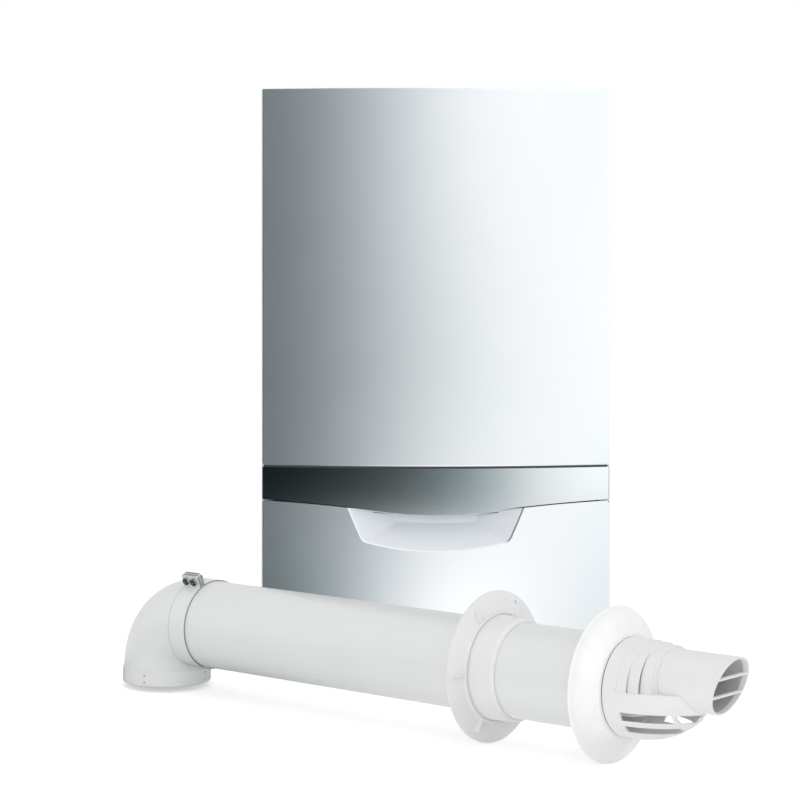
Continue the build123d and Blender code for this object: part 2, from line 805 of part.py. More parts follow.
def gas_valve():
    """Gas valve body with two coils and its outlet to the mixing pipe."""
    half = valve_width / 2
    x = (fan_x - half, fan_x + half)
    y = (valve_y - valve_depth / 2, valve_y + valve_depth / 2)
    high = valve_z + valve_height
    body = rounded_block(x, y, (valve_z, high), 6, (0, 0, 1))
    for offset in (-14, 14):
        body += rod((fan_x + offset, y[0] + 1, valve_z + 24), (0, -1, 0), 11, 32)
    outlet = rod((fan_x, intake_y, high - 1), (0, 0, 1), 10, fan_z + intake_radius / 3 - high + 1)
    return body + (outlet - pipe_run(intake_points(), intake_radius + seat_gap, intake_bend))


def gas_pipe():
    """Gas pipe from the middle connection to the valve."""
    points = ((0, connection_y, connection_top), (0, connection_y, gas_pipe_level),
              (0, valve_y, gas_pipe_level), (fan_x, valve_y, gas_pipe_level), (fan_x, valve_y, valve_z))
    return routed_pipe(points, gas_pipe_radius, gas_pipe_wall, gas_pipe_bend)


def condensate_trap():
    """Siphon bottle under the sump with its outlet down through the floor."""
    top = sump_bottom_z - 14
    neck = sleeve((trap_x, trap_y, top - 20), (0, 0, 1), sump_drain_radius + 3, sump_drain_radius + seat_gap, 32)
    outline = [(sump_drain_radius + 3, top - 6), (trap_radius, top - 20), (trap_radius, trap_bottom + 8),
               (trap_radius - 6, trap_bottom), (0, trap_bottom), (0, trap_bottom + 3),
               (trap_radius - 9, trap_bottom + 3), (trap_radius - 3, trap_bottom + 9),
               (trap_radius - 3, top - 22), (sump_drain_radius + seat_gap, top - 8)]
    bottle = turned(outline, (trap_x, trap_y, 0), (0, 0, 1)) + neck
    start = (trap_x, trap_y, connection_bottom)
    outlet = rod(start, (0, 0, 1), sump_drain_radius - connection_shoulder, trap_bottom - connection_bottom + 1)
    outlet += rod(start, (0, 0, 1), sump_drain_radius, floor_z - seat_gap - connection_bottom)
    return bottle + outlet - rod(start, (0, 0, 1), sump_drain_radius - 2, trap_bottom - connection_bottom + 4)


# Water side

def expansion_vessel():
    """Flat round vessel: two dished shells on a seam, with feet on the rear frame."""
    back = rear_y - seat_gap
    middle = vessel_depth / 2
    rim = vessel_radius
    dish = 14.0
    outline = [(0, 0), (60, 0), (rim, dish * 1.6), (rim, middle - vessel_seam / 2),
               (vessel_seam_radius, middle - vessel_seam / 2), (vessel_seam_radius, middle + vessel_seam / 2),
               (rim, middle + vessel_seam / 2), (rim, vessel_depth - dish * 1.6), (60, vessel_depth),
               (0, vessel_depth)]
    vessel = turned(outline, (vessel_x, back, vessel_z), (0, -1, 0))
    vessel += rod((vessel_x, back - middle, vessel_z - rim), (0, 0, -1), 8, 22)
    wall = vessel_wall
    inner = [(0, wall), (60, wall), (rim - wall, dish * 1.6 + wall / 2),
             (rim - wall, vessel_depth - dish * 1.6 - wall / 2), (60, vessel_depth - wall), (0, vessel_depth - wall)]
    return vessel - turned(inner, (vessel_x, back, vessel_z), (0, -1, 0))


def water_block(side):
    """Cast water block over two connections, with ports at the back for the plate pack."""
    x = (side * block_inner_x, side * block_outer_x)
    y = (connection_y - block_half_depth, connection_y + block_half_depth)
    body = rounded_block(x, y, (block_low_z, block_high_z), 8, (0, 0, 1))
    for level in (block_low_z + 12, block_high_z - 12):
        start = (side * (block_inner_x + 22), y[1] - 1, level)
        body += rod(start, (0, 1, 0), 8, plate_pack_front - y[1] - seat_gap + 1)
    for index, x_place in enumerate(connection_x):
        if x_place * side > 0:
            radius = connection_radius[index] + 4
            body += rod((x_place, connection_y, connection_top), (0, 0, 1), radius, block_low_z - connection_top + 1)
    return body


def plate_heat_exchanger():
    """Brazed plate pack for the hot water."""
    x = (-plate_pack_half, plate_pack_half)
    pack = Part()
    pitch = plate_pack_depth / plate_count
    for index in range(plate_count):
        margin = 0 if index % 2 == 0 else 2.0
        y = (plate_pack_front + pitch * index, plate_pack_front + pitch * (index + 1))
        pack += rounded_block((x[0] + margin, x[1] - margin), y,
                              (plate_pack_low + margin, plate_pack_high - margin), 16 - margin)
    return pack


def connection_stubs():
    """Five connections through the floor plate, each with its nut on top of the plate."""
    stubs = []
    for x, radius in zip(connection_x, connection_radius):
        start = (x, connection_y, connection_bottom)
        length = connection_top - connection_bottom - seat_gap
        stub = rod(start, (0, 0, 1), radius - connection_shoulder, length)
        stub += rod(start, (0, 0, 1), radius, floor_z - seat_gap - connection_bottom)
        across = 2 * radius + connection_nut_margin
        nut_z = floor_z + floor_sheet + seat_gap
        stub += hexagon((x, connection_y, nut_z), (0, 0, 1), across, connection_nut_height)
        stubs.append(stub - rod((x, connection_y, 0), (0, 0, 1), radius - connection_wall, connection_top + 5))
    return stubs


def pump_body():
    """Pump volute on the return block with its open motor side."""
    y = connection_y + block_half_depth
    shell = rod((pump_x, y, pump_z), (0, -1, 0), pump_radius, pump_depth)
    shell += rod((pump_x, connection_y, block_high_z + seat_gap), (0, 0, 1), 14, pump_z - block_high_z - pump_radius + 8)
    shell += rod((pump_x, return_pipe_y, pump_z + 20), (0, 0, 1), 13, pump_outlet_z - pump_z - 20)
    cavity = rod((pump_x, y - pump_wall, pump_z), (0, -1, 0), pump_impeller_radius + 3, pump_depth)
    return shell - cavity


def pump_motor():
    """Canned motor that closes the pump body, with its shaft."""
    face = connection_y + block_half_depth - pump_depth - seat_gap
    motor = rod((pump_x, face, pump_z), (0, -1, 0), pump_motor_radius, pump_motor_depth)
    motor = chamfer(motor.edges().sort_by(Axis.Y)[0], 4)
    motor += rod((pump_x, face, pump_z), (0, 1, 0), shaft_radius, pump_depth - pump_wall - 6)
    return motor


def pump_rotor():
    """Pump impeller on the motor shaft."""
    face = connection_y + block_half_depth - pump_depth
    plate = rod((pump_x, face + 4, pump_z), (0, 1, 0), pump_impeller_radius, 2.5)
    plate += rod((pump_x, face + 4, pump_z), (0, 1, 0), 8, 20)
    for index in range(6):
        vane = block((7, pump_impeller_radius - 1), (0, 18), (-1, 1))
        plate += Pos(pump_x, face + 5, pump_z) * Rot(0, 60 * index, 0) * vane
    return plate - rod((pump_x, face, pump_z), (0, 1, 0), shaft_radius + shaft_clearance, 40)


def heating_pipes():
    """Flow pipe from the drum to the left block, return pipe from the pump to the drum."""
    flow_bottom = block_high_z + seat_gap
    flow = sleeve((flow_pipe_x, flow_pipe_y, flow_bottom), (0, 0, 1), heating_pipe_radius,
                  heating_pipe_radius - heating_pipe_wall, flow_port_z - seat_gap - flow_bottom)
    return_end = drum_x + drum_radius + drum_rib_height + seat_gap
    points = ((pump_x, return_pipe_y, pump_outlet_z + seat_gap),
              (pump_x, return_pipe_y, drum_z), (return_end, return_pipe_y, drum_z))
    rise = routed_pipe(points, heating_pipe_radius, heating_pipe_wall, heating_pipe_radius + 1)
    return [flow, rise]


def diverter_motor():
    """Actuator on the left block, hollow for its spindle."""
    low = block_high_z + 16
    motor = rod((diverter_x, connection_y, low), (0, 0, 1), diverter_radius, diverter_height)
    motor = chamfer(motor.edges().sort_by(Axis.Z)[-1], 3)
    for x in (-11, 11):
        motor += rod((diverter_x + x, connection_y, block_high_z + seat_gap), (0, 0, 1), 2.5, 17)
    bore = spindle_radius + shaft_clearance
    return motor - rod((diverter_x, connection_y, low - 1), (0, 0, 1), bore, 22)


def diverter_spindle():
    """Sliding spindle of the three-way valve."""
    length = 16 + 14 - seat_gap
    return rod((diverter_x, connection_y, block_high_z + seat_gap), (0, 0, 1), spindle_radius, length)


def safety_valve():
    """Spring-loaded relief valve on the return block with its knob."""
    start_x = block_outer_x + seat_gap
    z = (block_low_z + block_high_z) / 2
    body = hexagon((start_x, connection_y, z), (1, 0, 0), 22, 12)
    body += rod((start_x + 11, connection_y, z), (1, 0, 0), 13, 16)
    body += rod((safety_x + 3, connection_y, z), (0, -1, 0), 9, 26)
    return body + rod((safety_x + 3, connection_y - 25, z), (0, -1, 0), 14, 14)


# Electronics

def electronics_box():
    """Open-fronted box with posts for the board, side tabs and the mains gland."""
    x = (-box_half_width, box_half_width)
    back = box_front_y + box_depth
    box = rounded_block(x, (box_front_y, back), (box_bottom, box_top), 6)
    inner = box_wall
    box -= rounded_block((x[0] + inner, x[1] - inner), (box_front_y - 1, back - inner),
                         (box_bottom + inner, box_top - inner), 4)
    for px in (-128, 128):
        for pz in (70, 158):
            post = board_y + board_thickness + seat_gap
            box += rod((px, back - 1, pz), (0, -1, 0), 4, back - 1 - post)
    for side in (-1, 1):
        tab = (side * (box_half_width - 1), side * inside_half)
        box += block(tab, (back - 30, back - 4), (box_bottom + 12, box_bottom + 15))
    gland = rod((160, back - 22, box_bottom + 1), (0, 0, -1), 10, 15)
    box += gland
    return box - rod((160, back - 22, box_bottom + 5), (0, 0, -1), 5, 30)


def circuit_board():
    """Board with its transformer, relays and terminal strip."""
    y = (board_y, board_y + board_thickness)
    board = block((-140, 140), y, (62, 166))
    back = board_y + board_thickness
    board += block((-110, -70), (back - 0.5, back + 26), (100, 140))
    for index in range(3):
        x = -40 + index * 24
        board += block((x, x + 18), (back - 0.5, back + 16), (112, 138))
    return board + block((40, 116), (back - 0.5, back + 14), (80, 94))


def fascia_openings():
    """Cuts in the control panel for the display, knobs, gauge and keys."""
    y = (fascia_front_y - 2, box_front_y + 2)
    depth = box_front_y - fascia_front_y + 4
    half = (display_width / 2 - 4, display_height / 2 - 4)
    cuts = block((-half[0], half[0]), y, (display_z - half[1], display_z + half[1]))
    lens_y = (fascia_front_y - 1, fascia_front_y + 1.5)
    cuts += block((-display_width / 2 - 0.2, display_width / 2 + 0.2), lens_y,
                  (display_z - display_height / 2 - 0.2, display_z + display_height / 2 + 0.2))
    for side in (-1, 1):
        cuts += rod((side * knob_x, y[0], knob_z), (0, 1, 0), knob_radius + knob_well_gap, 2 + fascia_wall - 1)
        cuts += rod((side * knob_x, y[0], knob_z), (0, 1, 0), shaft_radius + shaft_clearance, depth)
    cuts += rod((gauge_x, y[0], gauge_z), (0, 1, 0), gauge_radius + 0.2, depth)
    for x in key_x:
        half_w = key_width / 2 + key_clearance
        half_h = key_height / 2 + key_clearance
        cuts += rounded_block((x - half_w, x + half_w), y, (key_z - half_h, key_z + half_h), 2)
    for z in round_key_z:
        cuts += rod((round_key_x, y[0], z), (0, 1, 0), round_key_radius + key_clearance, depth)
    return cuts


def control_panel():
    """Fascia with a turned rim that closes the electronics box."""
    x = (-box_half_width, box_half_width)
    panel = rounded_block(x, (fascia_front_y, box_front_y - seat_gap), (box_bottom, box_top), fascia_round)
    edge = panel.edges().filter_by(Plane.XZ).group_by(Axis.Y)[0]
    panel = chamfer(edge, 1.2)
    inner = box_wall
    panel -= rounded_block((x[0] + inner, x[1] - inner), (fascia_front_y + fascia_wall, box_front_y),
                           (box_bottom + inner, box_top - inner), fascia_round - inner)
    for side in (-1, 1):
        panel += rod((side * knob_x, fascia_front_y + fascia_wall - 1, knob_z), (0, 1, 0), 8, 4)
    return panel - fascia_openings()


def display_lens():
    """Clear window over the display."""
    half = (display_width / 2, display_height / 2)
    return rounded_block((-half[0], half[0]), (fascia_front_y - 0.3, fascia_front_y + 1.5),
                         (display_z - half[1], display_z + half[1]), 2)


def rotary_knob(side):
    """Fluted setting knob with a pointer ridge and its spindle."""
    floor = fascia_front_y + fascia_wall - 1 - seat_gap
    start = (side * knob_x, floor, knob_z)
    knob = rod(start, (0, -1, 0), knob_radius, knob_height)
    knob = chamfer(knob.edges().sort_by(Axis.Y)[0], 1.5)
    for index in range(10):
        angle = math.radians(36 * index + 18)
        x = side * knob_x + (knob_radius + 1.2) * math.cos(angle)
        z = knob_z + (knob_radius + 1.2) * math.sin(angle)
        knob -= rod((x, floor - 3, z), (0, -1, 0), 2.5, knob_height)
    top = floor - knob_height
    ridge = block((side * knob_x - 1.5, side * knob_x + 1.5), (top + 1, top - 2), (knob_z + 2, knob_z + knob_radius - 4))
    return knob + ridge + rod(start, (0, 1, 0), shaft_radius, 12)


def flat_key(x):
    """Rectangular key with its retaining flange behind the fascia."""
    half_w = key_width / 2
    half_h = key_height / 2
    front = fascia_front_y - key_proud
    back = fascia_front_y + fascia_wall + seat_gap
    cap = rounded_block((x - half_w, x + half_w), (front, back + 1), (key_z - half_h, key_z + half_h), 1.7)
    rim = cap.edges().filter_by(Plane.XZ).group_by(Axis.Y)[0]
    cap = chamfer(rim, 0.7)
    return cap + block((x - half_w - 1.2, x + half_w + 1.2), (back, back + 1.5), (key_z - half_h - 1.2, key_z + half_h + 1.2))


def round_key(z):
    """Round key with its retaining flange behind the fascia."""
    front = fascia_front_y - key_proud
    back = fascia_front_y + fascia_wall + seat_gap
    cap = rod((round_key_x, front, z), (0, 1, 0), round_key_radius, back - front + 1)
    cap = chamfer(cap.edges().sort_by(Axis.Y)[0], 0.7)
    return cap + rod((round_key_x, back, z), (0, 1, 0), round_key_radius + 1.2, 1.5)


def pressure_gauge():
    """Round gauge case with its dial, open at the front for the needle."""
    case = rod((gauge_x, fascia_front_y - 1.5, gauge_z), (0, 1, 0), gauge_radius, 20)
    case -= rod((gauge_x, fascia_front_y - 2.5, gauge_z), (0, 1, 0), gauge_radius - 2, 6)
    return case + rod((gauge_x, fascia_front_y + 8, gauge_z), (0, -1, 0), 1, 8)


def gauge_needle():
    """Needle turning on the gauge's centre pin."""
    y = fascia_front_y + 1.8
    needle = rod((gauge_x, y, gauge_z), (0, 1, 0), 3, 1)
    pointer = Plane(origin=(gauge_x, y, gauge_z), x_dir=(1, 0, 0), z_dir=(0, 1, 0)) * Polyline(
        (-1.6, 0), (0, 14), (1.6, 0), (0.8, -6), (-0.8, -6), close=True)
    needle += extrude(make_face(pointer), amount=1)
    needle = Pos(gauge_x, 0, gauge_z) * Rot(0, 45, 0) * Pos(-gauge_x, 0, -gauge_z) * needle
    return needle - rod((gauge_x, y - 1, gauge_z), (0, 1, 0), 1 + shaft_clearance, 4)


# Flue kit, drawn along its own axis and then laid on the floor

def kit_place(shape):
    """Lay a piece of the kit in front of the boiler."""
    return Pos(kit_origin_x, kit_origin_y, kit_axis_z) * Rot(0, 0, kit_turn) * shape


def elbow_arc(radius):
    """Quarter bend from the level arm down to the upright leg."""
    section = Plane(origin=(elbow_bend, 0, 0), z_dir=(1, 0, 0)) * Circle(radius)
    return revolve(section, axis=Axis((elbow_bend, 0, -elbow_bend), (0, -1, 0)), revolution_arc=90)


def flue_elbow():
    """Concentric elbow: outer bend with its collar and spigot, inner bend held by three ribs."""
    leg = elbow_mouth - elbow_bend
    corner = (0, 0, -elbow_bend)
    down = (0, 0, -1)
    bore = elbow_radius - elbow_wall
    outer = elbow_arc(elbow_radius) + rod(corner, down, elbow_radius, leg)
    collar = rod((0, 0, -elbow_bend - 1), down, elbow_collar_radius, leg - 1)
    outer += fillet(collar.edges().sort_by(Axis.Z)[0], 1.5)
    outer -= elbow_arc(bore) + rod(corner, down, bore, leg + 1)
    spigot = pipe_radius - pipe_wall - seat_gap
    joint = (elbow_bend - elbow_step, 0, 0)
    outer += sleeve(joint, (1, 0, 0), spigot, spigot - elbow_spigot_wall, elbow_spigot + elbow_step)
    outer += sleeve(joint, (1, 0, 0), bore + elbow_wall / 3, spigot - elbow_spigot_wall / 2, elbow_step)
    small = inner_pipe_radius + seat_gap
    skin = small + inner_pipe_wall
    inner = elbow_arc(skin) + rod(corner, down, skin, leg - 2)
    inner += rod((elbow_bend, 0, 0), (1, 0, 0), skin, elbow_spigot)
    hole = elbow_arc(small) + rod(corner, down, small, leg)
    hole += rod((elbow_bend, 0, 0), (1, 0, 0), small, elbow_spigot + 1)
    inner -= hole
    ring = sleeve(corner, down, bore + elbow_wall / 3, skin - inner_pipe_wall / 3, leg - 4)
    ribs = Part()
    for index in range(3):
        arm = block((0, bore + 1), (-1, 1), (-elbow_bend - leg + 6, -elbow_bend - 1))
        ribs += Rot(0, 0, 30 + 120 * index) * arm
    return kit_place(outer + (ribs & ring) + inner)


def flue_pipe_outer():
    """Outer air pipe of the kit."""
    start = (elbow_bend + seat_gap, 0, 0)
    length = head_start - 4 - elbow_bend - seat_gap
    return kit_place(sleeve(start, (1, 0, 0), pipe_radius, pipe_radius - pipe_wall, length))


def flue_pipe_inner():
    """Inner flue pipe with its spacer stars."""
    start_u = elbow_bend + 4
    length = head_start - 6 - start_u
    bore = rod((start_u - 1, 0, 0), (1, 0, 0), inner_pipe_radius - inner_pipe_wall, length + 2)
    pipe = rod((start_u, 0, 0), (1, 0, 0), inner_pipe_radius, length)
    fin_reach = pipe_radius - pipe_wall - seat_gap
    for station in spacer_stations:
        for index in range(3):
            fin = block((station, station + 14), (-1, 1), (0, fin_reach))
            ring = rod((station, 0, 0), (1, 0, 0), fin_reach, 14)
            pipe += (Rot(60 + 120 * index, 0, 0) * fin) & ring
    return kit_place(pipe - bore)


def elbow_clamp():
    """Band round the joint of elbow and pipe, with two screw ears on top."""
    inner = elbow_radius + 0.2
    outer = inner + clamp_band
    band = sleeve((clamp_start, 0, 0), (1, 0, 0), outer, inner, clamp_width)
    span = (clamp_start, clamp_start + clamp_width)
    band -= block((span[0] - 1, span[1] + 1), (-clamp_ear_gap / 2, clamp_ear_gap / 2), (0, outer + 5))
    for side in (-1, 1):
        y = (side * clamp_ear_gap / 2, side * (clamp_ear_gap / 2 + clamp_ear_thickness))
        ear = block(span, y, (inner, outer + clamp_ear_height))
        ear = fillet(ear.edges().filter_by(Axis.Y).group_by(Axis.Z)[-1], 3)
        band += ear
    for place in clamp_screw_places():
        band -= rod((place, -12, outer + clamp_ear_height / 2), (0, 1, 0), clamp_screw_radius + 0.1, 24)
    return kit_place(Rot(clamp_turn, 0, 0) * band)


def clamp_screw_places():
    """Positions of the two clamp screws along the pipe."""
    return (clamp_start + clamp_width * 0.27, clamp_start + clamp_width * 0.73)


def clamp_screws():
    """Two cross-ear screws with their nuts."""
    height = elbow_radius + 0.2 + clamp_band + clamp_ear_height / 2
    half = clamp_ear_gap / 2 + clamp_ear_thickness + 0.1
    screws = []
    for place in clamp_screw_places():
        screw = rod((place, -half - 3, height), (0, 1, 0), clamp_screw_radius, 2 * half + 8)
        screw += rod((place, -half, height), (0, -1, 0), 4.5, 3)
        screw += hexagon((place, half, height), (0, 1, 0), 8, 3.5)
        screws.append(kit_place(Rot(clamp_turn, 0, 0) * screw))
    return screws


def inner_rosette():
    """Sliding wall rosette: plate with a neck, a raised ring round it and thin gussets."""
    bore = pipe_radius + rosette_grip_clearance
    neck = rosette_neck_radius
    ring = rosette_plate + rosette_ring_height
    length = rosette_neck_length
    outline = [(bore, -3), (bore + 6, -3), (rosette_radius - 10, -4), (rosette_radius, -2.5),
               (rosette_radius, 0), (rosette_radius - 8, rosette_plate - 1.5), (neck + 4, rosette_plate),
               (neck + 4, ring), (neck + 2, ring), (neck + 2, rosette_plate + 1), (neck, rosette_plate + 2),
               (neck - 1, length - 4), (bore + 2, length), (bore, length)]
    plate = turned(outline, (0, 0, 0), (0, 0, 1))
    plate = Pos(inner_rosette_at, 0, 0) * Rot(0, 90, 0) * plate
    for index in range(rosette_gusset_count):
        angle = 30 + 360 / rosette_gusset_count * index
        half = rosette_gusset / 2
        gusset = block((inner_rosette_at, inner_rosette_at + ring), (-half, half), (neck + 3, rosette_radius - 7))
        plate += Rot(angle, 0, 0) * gusset
    screw_hole = rod((inner_rosette_at - 8, 0, rosette_radius - 7), (1, 0, 0), 2, 16)
    return kit_place(plate - Rot(-28, 0, 0) * screw_hole)


def outer_rosette():
    """Soft outside rosette: smooth dish that ends in a sleeve at the terminal head."""
    bore = pipe_radius + rosette_grip_clearance
    dish = outer_rosette_dish
    edge = rosette_radius - 1.2
    curve = ThreePointArc((edge, 0, 1.5), (head_radius + 12.5, 0, dish * 0.28), (head_radius + 4, 0, dish - 0.5))
    back = Polyline((bore + 3.5, 0, dish - 6), (head_radius + 10, 0, 3), (rosette_radius - 10, 0, -0.8),
                    (edge, 0, -1.5))
    rim = ThreePointArc((edge, 0, -1.5), (rosette_radius, 0, 0), (edge, 0, 1.5))
    rest = Polyline((head_radius + 4, 0, dish - 0.5), (bore, 0, dish - 0.5), (bore, 0, dish - 6), (bore + 3.5, 0, dish - 6))
    outline = make_face([curve, rest, back, rim])
    dish_body = revolve(outline, axis=Axis.Z)
    return kit_place(Pos(outer_rosette_at, 0, 0) * Rot(0, 90, 0) * dish_body)


def nose_outline(inset):
    """Half section of the head's nose: a long side arc that runs into a rounder tip."""
    across = head_radius - head_tip_radius
    along = head_nose - head_tip_radius
    side_radius = head_tip_radius + (across**2 + along**2) / (2 * across)
    turn = math.asin(along / (side_radius - head_tip_radius))
    side_centre = head_radius - side_radius
    points = []
    for angle in (0, turn / 2, turn):
        radius = side_radius - inset
        points.append((side_centre + radius * math.cos(angle), 0, radius * math.sin(angle)))
    tip_radius = head_tip_radius - inset
    middle = (turn + math.pi / 2) / 2
    tip_middle = (tip_radius * math.cos(middle), 0, along + tip_radius * math.sin(middle))
    tip = (0, 0, head_nose - inset)
    side = ThreePointArc(*points)
    end = ThreePointArc(points[-1], tip_middle, tip)
    return make_face([side, end, Polyline(tip, (0, 0, 0), points[0])])


def head_mass(inset):
    """Outer form of the terminal head, shrunk by a wall."""
    radius = head_radius - inset
    start = head_start + (inset if inset == 0 else -1)
    nose_start = head_start + head_collar
    length = nose_start - start
    mass = rod((start, 0, 0), (1, 0, 0), radius, length + 1)
    ball = Pos(nose_start, 0, 0) * Rot(0, 90, 0) * revolve(nose_outline(inset), axis=Axis.Z)
    mass += ball & block((nose_start, nose_start + head_nose + 1), (-60, 60), (-60, 4 - inset))
    rises = (1.0, 4.0, 8.0)
    radii = (head_radius - 1.2, head_radius - 5.0, head_radius - 10.5)
    for index, (rise, step) in enumerate(zip(rises, radii)):
        at = nose_start + head_step_length * index - (0 if index == 0 else inset)
        step_length = head_step_length - (inset if index == 2 else 0) + (inset if index else 0)
        mass += rod((at, 0, rise), (1, 0, 0), step - inset, step_length)
    return mass


def terminal_head():
    """Moulded head: collar, three stepped rings and the slotted air intake basket."""
    sleeve_start = head_start + head_collar
    sleeve_radius = inner_pipe_radius + seat_gap + 2.2
    head = head_mass(0)
    head += rod((sleeve_start, 0, outlet_rise), (1, 0, 0), sleeve_radius, outlet_sleeve)
    head -= head_mass(head_wall)
    head += sleeve((sleeve_start + 24, 0, outlet_rise), (1, 0, 0), sleeve_radius,
                   inner_pipe_radius + seat_gap, outlet_sleeve - 24)
    head -= pipe_run(outlet_points(), inner_pipe_radius + seat_gap, inner_pipe_radius + 8)
    for low, high in grille_rows:
        slot = block((sleeve_start + 4, sleeve_start + head_nose + 2), (-60, 60), (low, high))
        rib_u = sleeve_start + head_nose * 0.68
        slot -= block((rib_u, rib_u + grille_rib), (-60, 60), (low - 1, high + 1))
        slot -= block((sleeve_start, sleeve_start + head_nose + 3), (-grille_rib / 2, grille_rib / 2), (low - 1, high + 1))
        head -= slot
    return kit_place(head)


def outlet_points():
    """Corners of the outlet pipe's centre line: level, cranked upwards, then level again."""
    return ((head_start - outlet_lead, 0, 0), (head_start + 9, 0, 0),
            (head_start + 35, 0, outlet_rise), (outlet_end + 20, 0, outlet_rise))


def terminal_outlet():
    """Flue outlet pipe: cranked upwards, cut obliquely, with two bars across its mouth."""
    radius = inner_pipe_radius
    pipe = routed_pipe(outlet_points(), radius, inner_pipe_wall, radius + 8)
    half = outlet_bar / 2
    bars = Part()
    for sign in (-1, 1):
        z = outlet_rise + sign * outlet_bar_spacing / 2
        u = outlet_end + math.tan(math.radians(outlet_slope)) * (z - outlet_rise)
        bars += block((u - 5, u - 0.5), (-radius + 1, radius - 1), (z - half, z + half))
    limit = rod((head_start, 0, outlet_rise), (1, 0, 0), radius - 0.5, outlet_end - head_start + 20)
    pipe += bars & limit
    cutter = Pos(outlet_end, 0, outlet_rise) * Rot(0, outlet_slope, 0) * block((0, 90), (-90, 90), (-90, 90))
    return kit_place(pipe - cutter)


nodes = {
    "rear_frame": rear_frame(),
    "left_side_panel": side_panel(-1),
    "right_side_panel": side_panel(1),
    "top_panel": top_panel(),
    "bottom_plate": bottom_plate(),
    "front_panel": front_panel(),
    "trim_band": trim_band(),
    "front_flap": front_flap(),
    "lower_rim": lower_rim(),
    "casing_screws": group(casing_screws()),
    "wall_bracket": wall_bracket(),
    "flue_socket": flue_socket(),
    "flue_duct": flue_duct(),
    "heat_exchanger_shell": heat_exchanger_shell(),
    "heat_exchanger_coil": heat_exchanger_coil(),
    "burner_door": burner_door(),
    "burner": burner(),
    "ignition_electrode": ignition_electrode(),
    "fan_housing": fan_housing(),
    "fan_impeller": fan_impeller(),
    "fan_motor": fan_motor(),
    "air_intake_tube": air_intake_tube(),
    "gas_valve": gas_valve(),
    "gas_pipe": gas_pipe(),
    "condensate_trap": condensate_trap(),
    "expansion_vessel": expansion_vessel(),
    "flow_block": water_block(-1),
    "return_block": water_block(1),
    "plate_heat_exchanger": plate_heat_exchanger(),
    "connection_stubs": group(connection_stubs()),
    "pump_body": pump_body(),
    "pump_motor": pump_motor(),
    "pump_rotor": pump_rotor(),
    "heating_pipes": group(heating_pipes()),
    "diverter_motor": diverter_motor(),
    "diverter_spindle": diverter_spindle(),
    "safety_valve": safety_valve(),
    "electronics_box": electronics_box(),
    "circuit_board": circuit_board(),
    "control_panel": control_panel(),
    "display_lens": display_lens(),
    "hot_water_knob": rotary_knob(-1),
    "heating_knob": rotary_knob(1),
    "left_key": flat_key(key_x[0]),
    "minus_key": flat_key(key_x[1]),
    "plus_key": flat_key(key_x[2]),
    "right_key": flat_key(key_x[3]),
    "power_key": round_key(round_key_z[0]),
    "reset_key": round_key(round_key_z[1]),
    "pressure_gauge": pressure_gauge(),
    "gauge_needle": gauge_needle(),
    "flue_elbow": flue_elbow(),
    "flue_pipe_outer": flue_pipe_outer(),
    "flue_pipe_inner": flue_pipe_inner(),
    "elbow_clamp": elbow_clamp(),
    "clamp_screws": group(clamp_screws()),
    "inner_rosette": inner_rosette(),
    "outer_rosette": outer_rosette(),
    "terminal_head": terminal_head(),
    "terminal_outlet": terminal_outlet(),
}

os.makedirs("parts", exist_ok=True)
for name, shape in nodes.items():
    export_step(shape, "parts/" + name + ".step")
    print(name, len(shape.solids()), "solid(s)")
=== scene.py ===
"""Looks of a wall-hung condensing boiler that stands behind its flue kit on a pale studio floor."""

import json
import math

import bmesh
import bpy
from mathutils import Matrix, Vector


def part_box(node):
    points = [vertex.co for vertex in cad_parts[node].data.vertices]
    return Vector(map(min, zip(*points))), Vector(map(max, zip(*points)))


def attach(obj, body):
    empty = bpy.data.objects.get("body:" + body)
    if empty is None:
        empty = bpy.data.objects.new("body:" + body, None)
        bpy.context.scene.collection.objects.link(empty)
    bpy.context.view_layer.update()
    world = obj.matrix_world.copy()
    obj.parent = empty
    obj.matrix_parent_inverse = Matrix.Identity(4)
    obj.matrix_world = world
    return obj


bl_info = {
    "name": "Condensing Boiler and Flue Kit",
    "version": (1, 0, 0),
    "blender": (4, 5, 0),
    "location": "View3D > Sidebar > Boiler",
    "description": "Finishes for the boiler's frame, and the small pieces of its controls and flue",
    "category": "Object",
}

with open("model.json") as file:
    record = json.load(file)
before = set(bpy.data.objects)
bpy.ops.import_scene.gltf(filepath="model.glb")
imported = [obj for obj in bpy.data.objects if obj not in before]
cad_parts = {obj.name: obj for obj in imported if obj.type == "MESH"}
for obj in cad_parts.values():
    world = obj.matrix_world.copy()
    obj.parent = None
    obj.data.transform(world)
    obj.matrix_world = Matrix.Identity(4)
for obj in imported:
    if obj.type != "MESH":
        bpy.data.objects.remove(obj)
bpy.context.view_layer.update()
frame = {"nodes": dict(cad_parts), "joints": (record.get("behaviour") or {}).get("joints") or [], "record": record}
MM = 0.001
MERGE_REACH = 0.001 * MM
SHARP_ANGLE = math.radians(35)

# Places in the frame

JOINTS = {joint["name"]: joint for joint in frame["joints"]}
MOUNTS = {mount["name"]: mount for mount in frame["record"]["mounts"]}
FASCIA_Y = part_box("control_panel")[0].y
KIT_ALONG = Vector(JOINTS["rosette_slide"]["axis"]).normalized()
KIT_ELBOW = Vector(MOUNTS["elbow_flue_end"]["pos_m"])
KIT_LOW, KIT_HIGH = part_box("flue_pipe_outer")
KIT_MIDDLE = Vector((*KIT_ELBOW.xy, (KIT_LOW.z + KIT_HIGH.z) / 2))

# Bowed front: its middle stands forward of its sides, on one circle seen from above

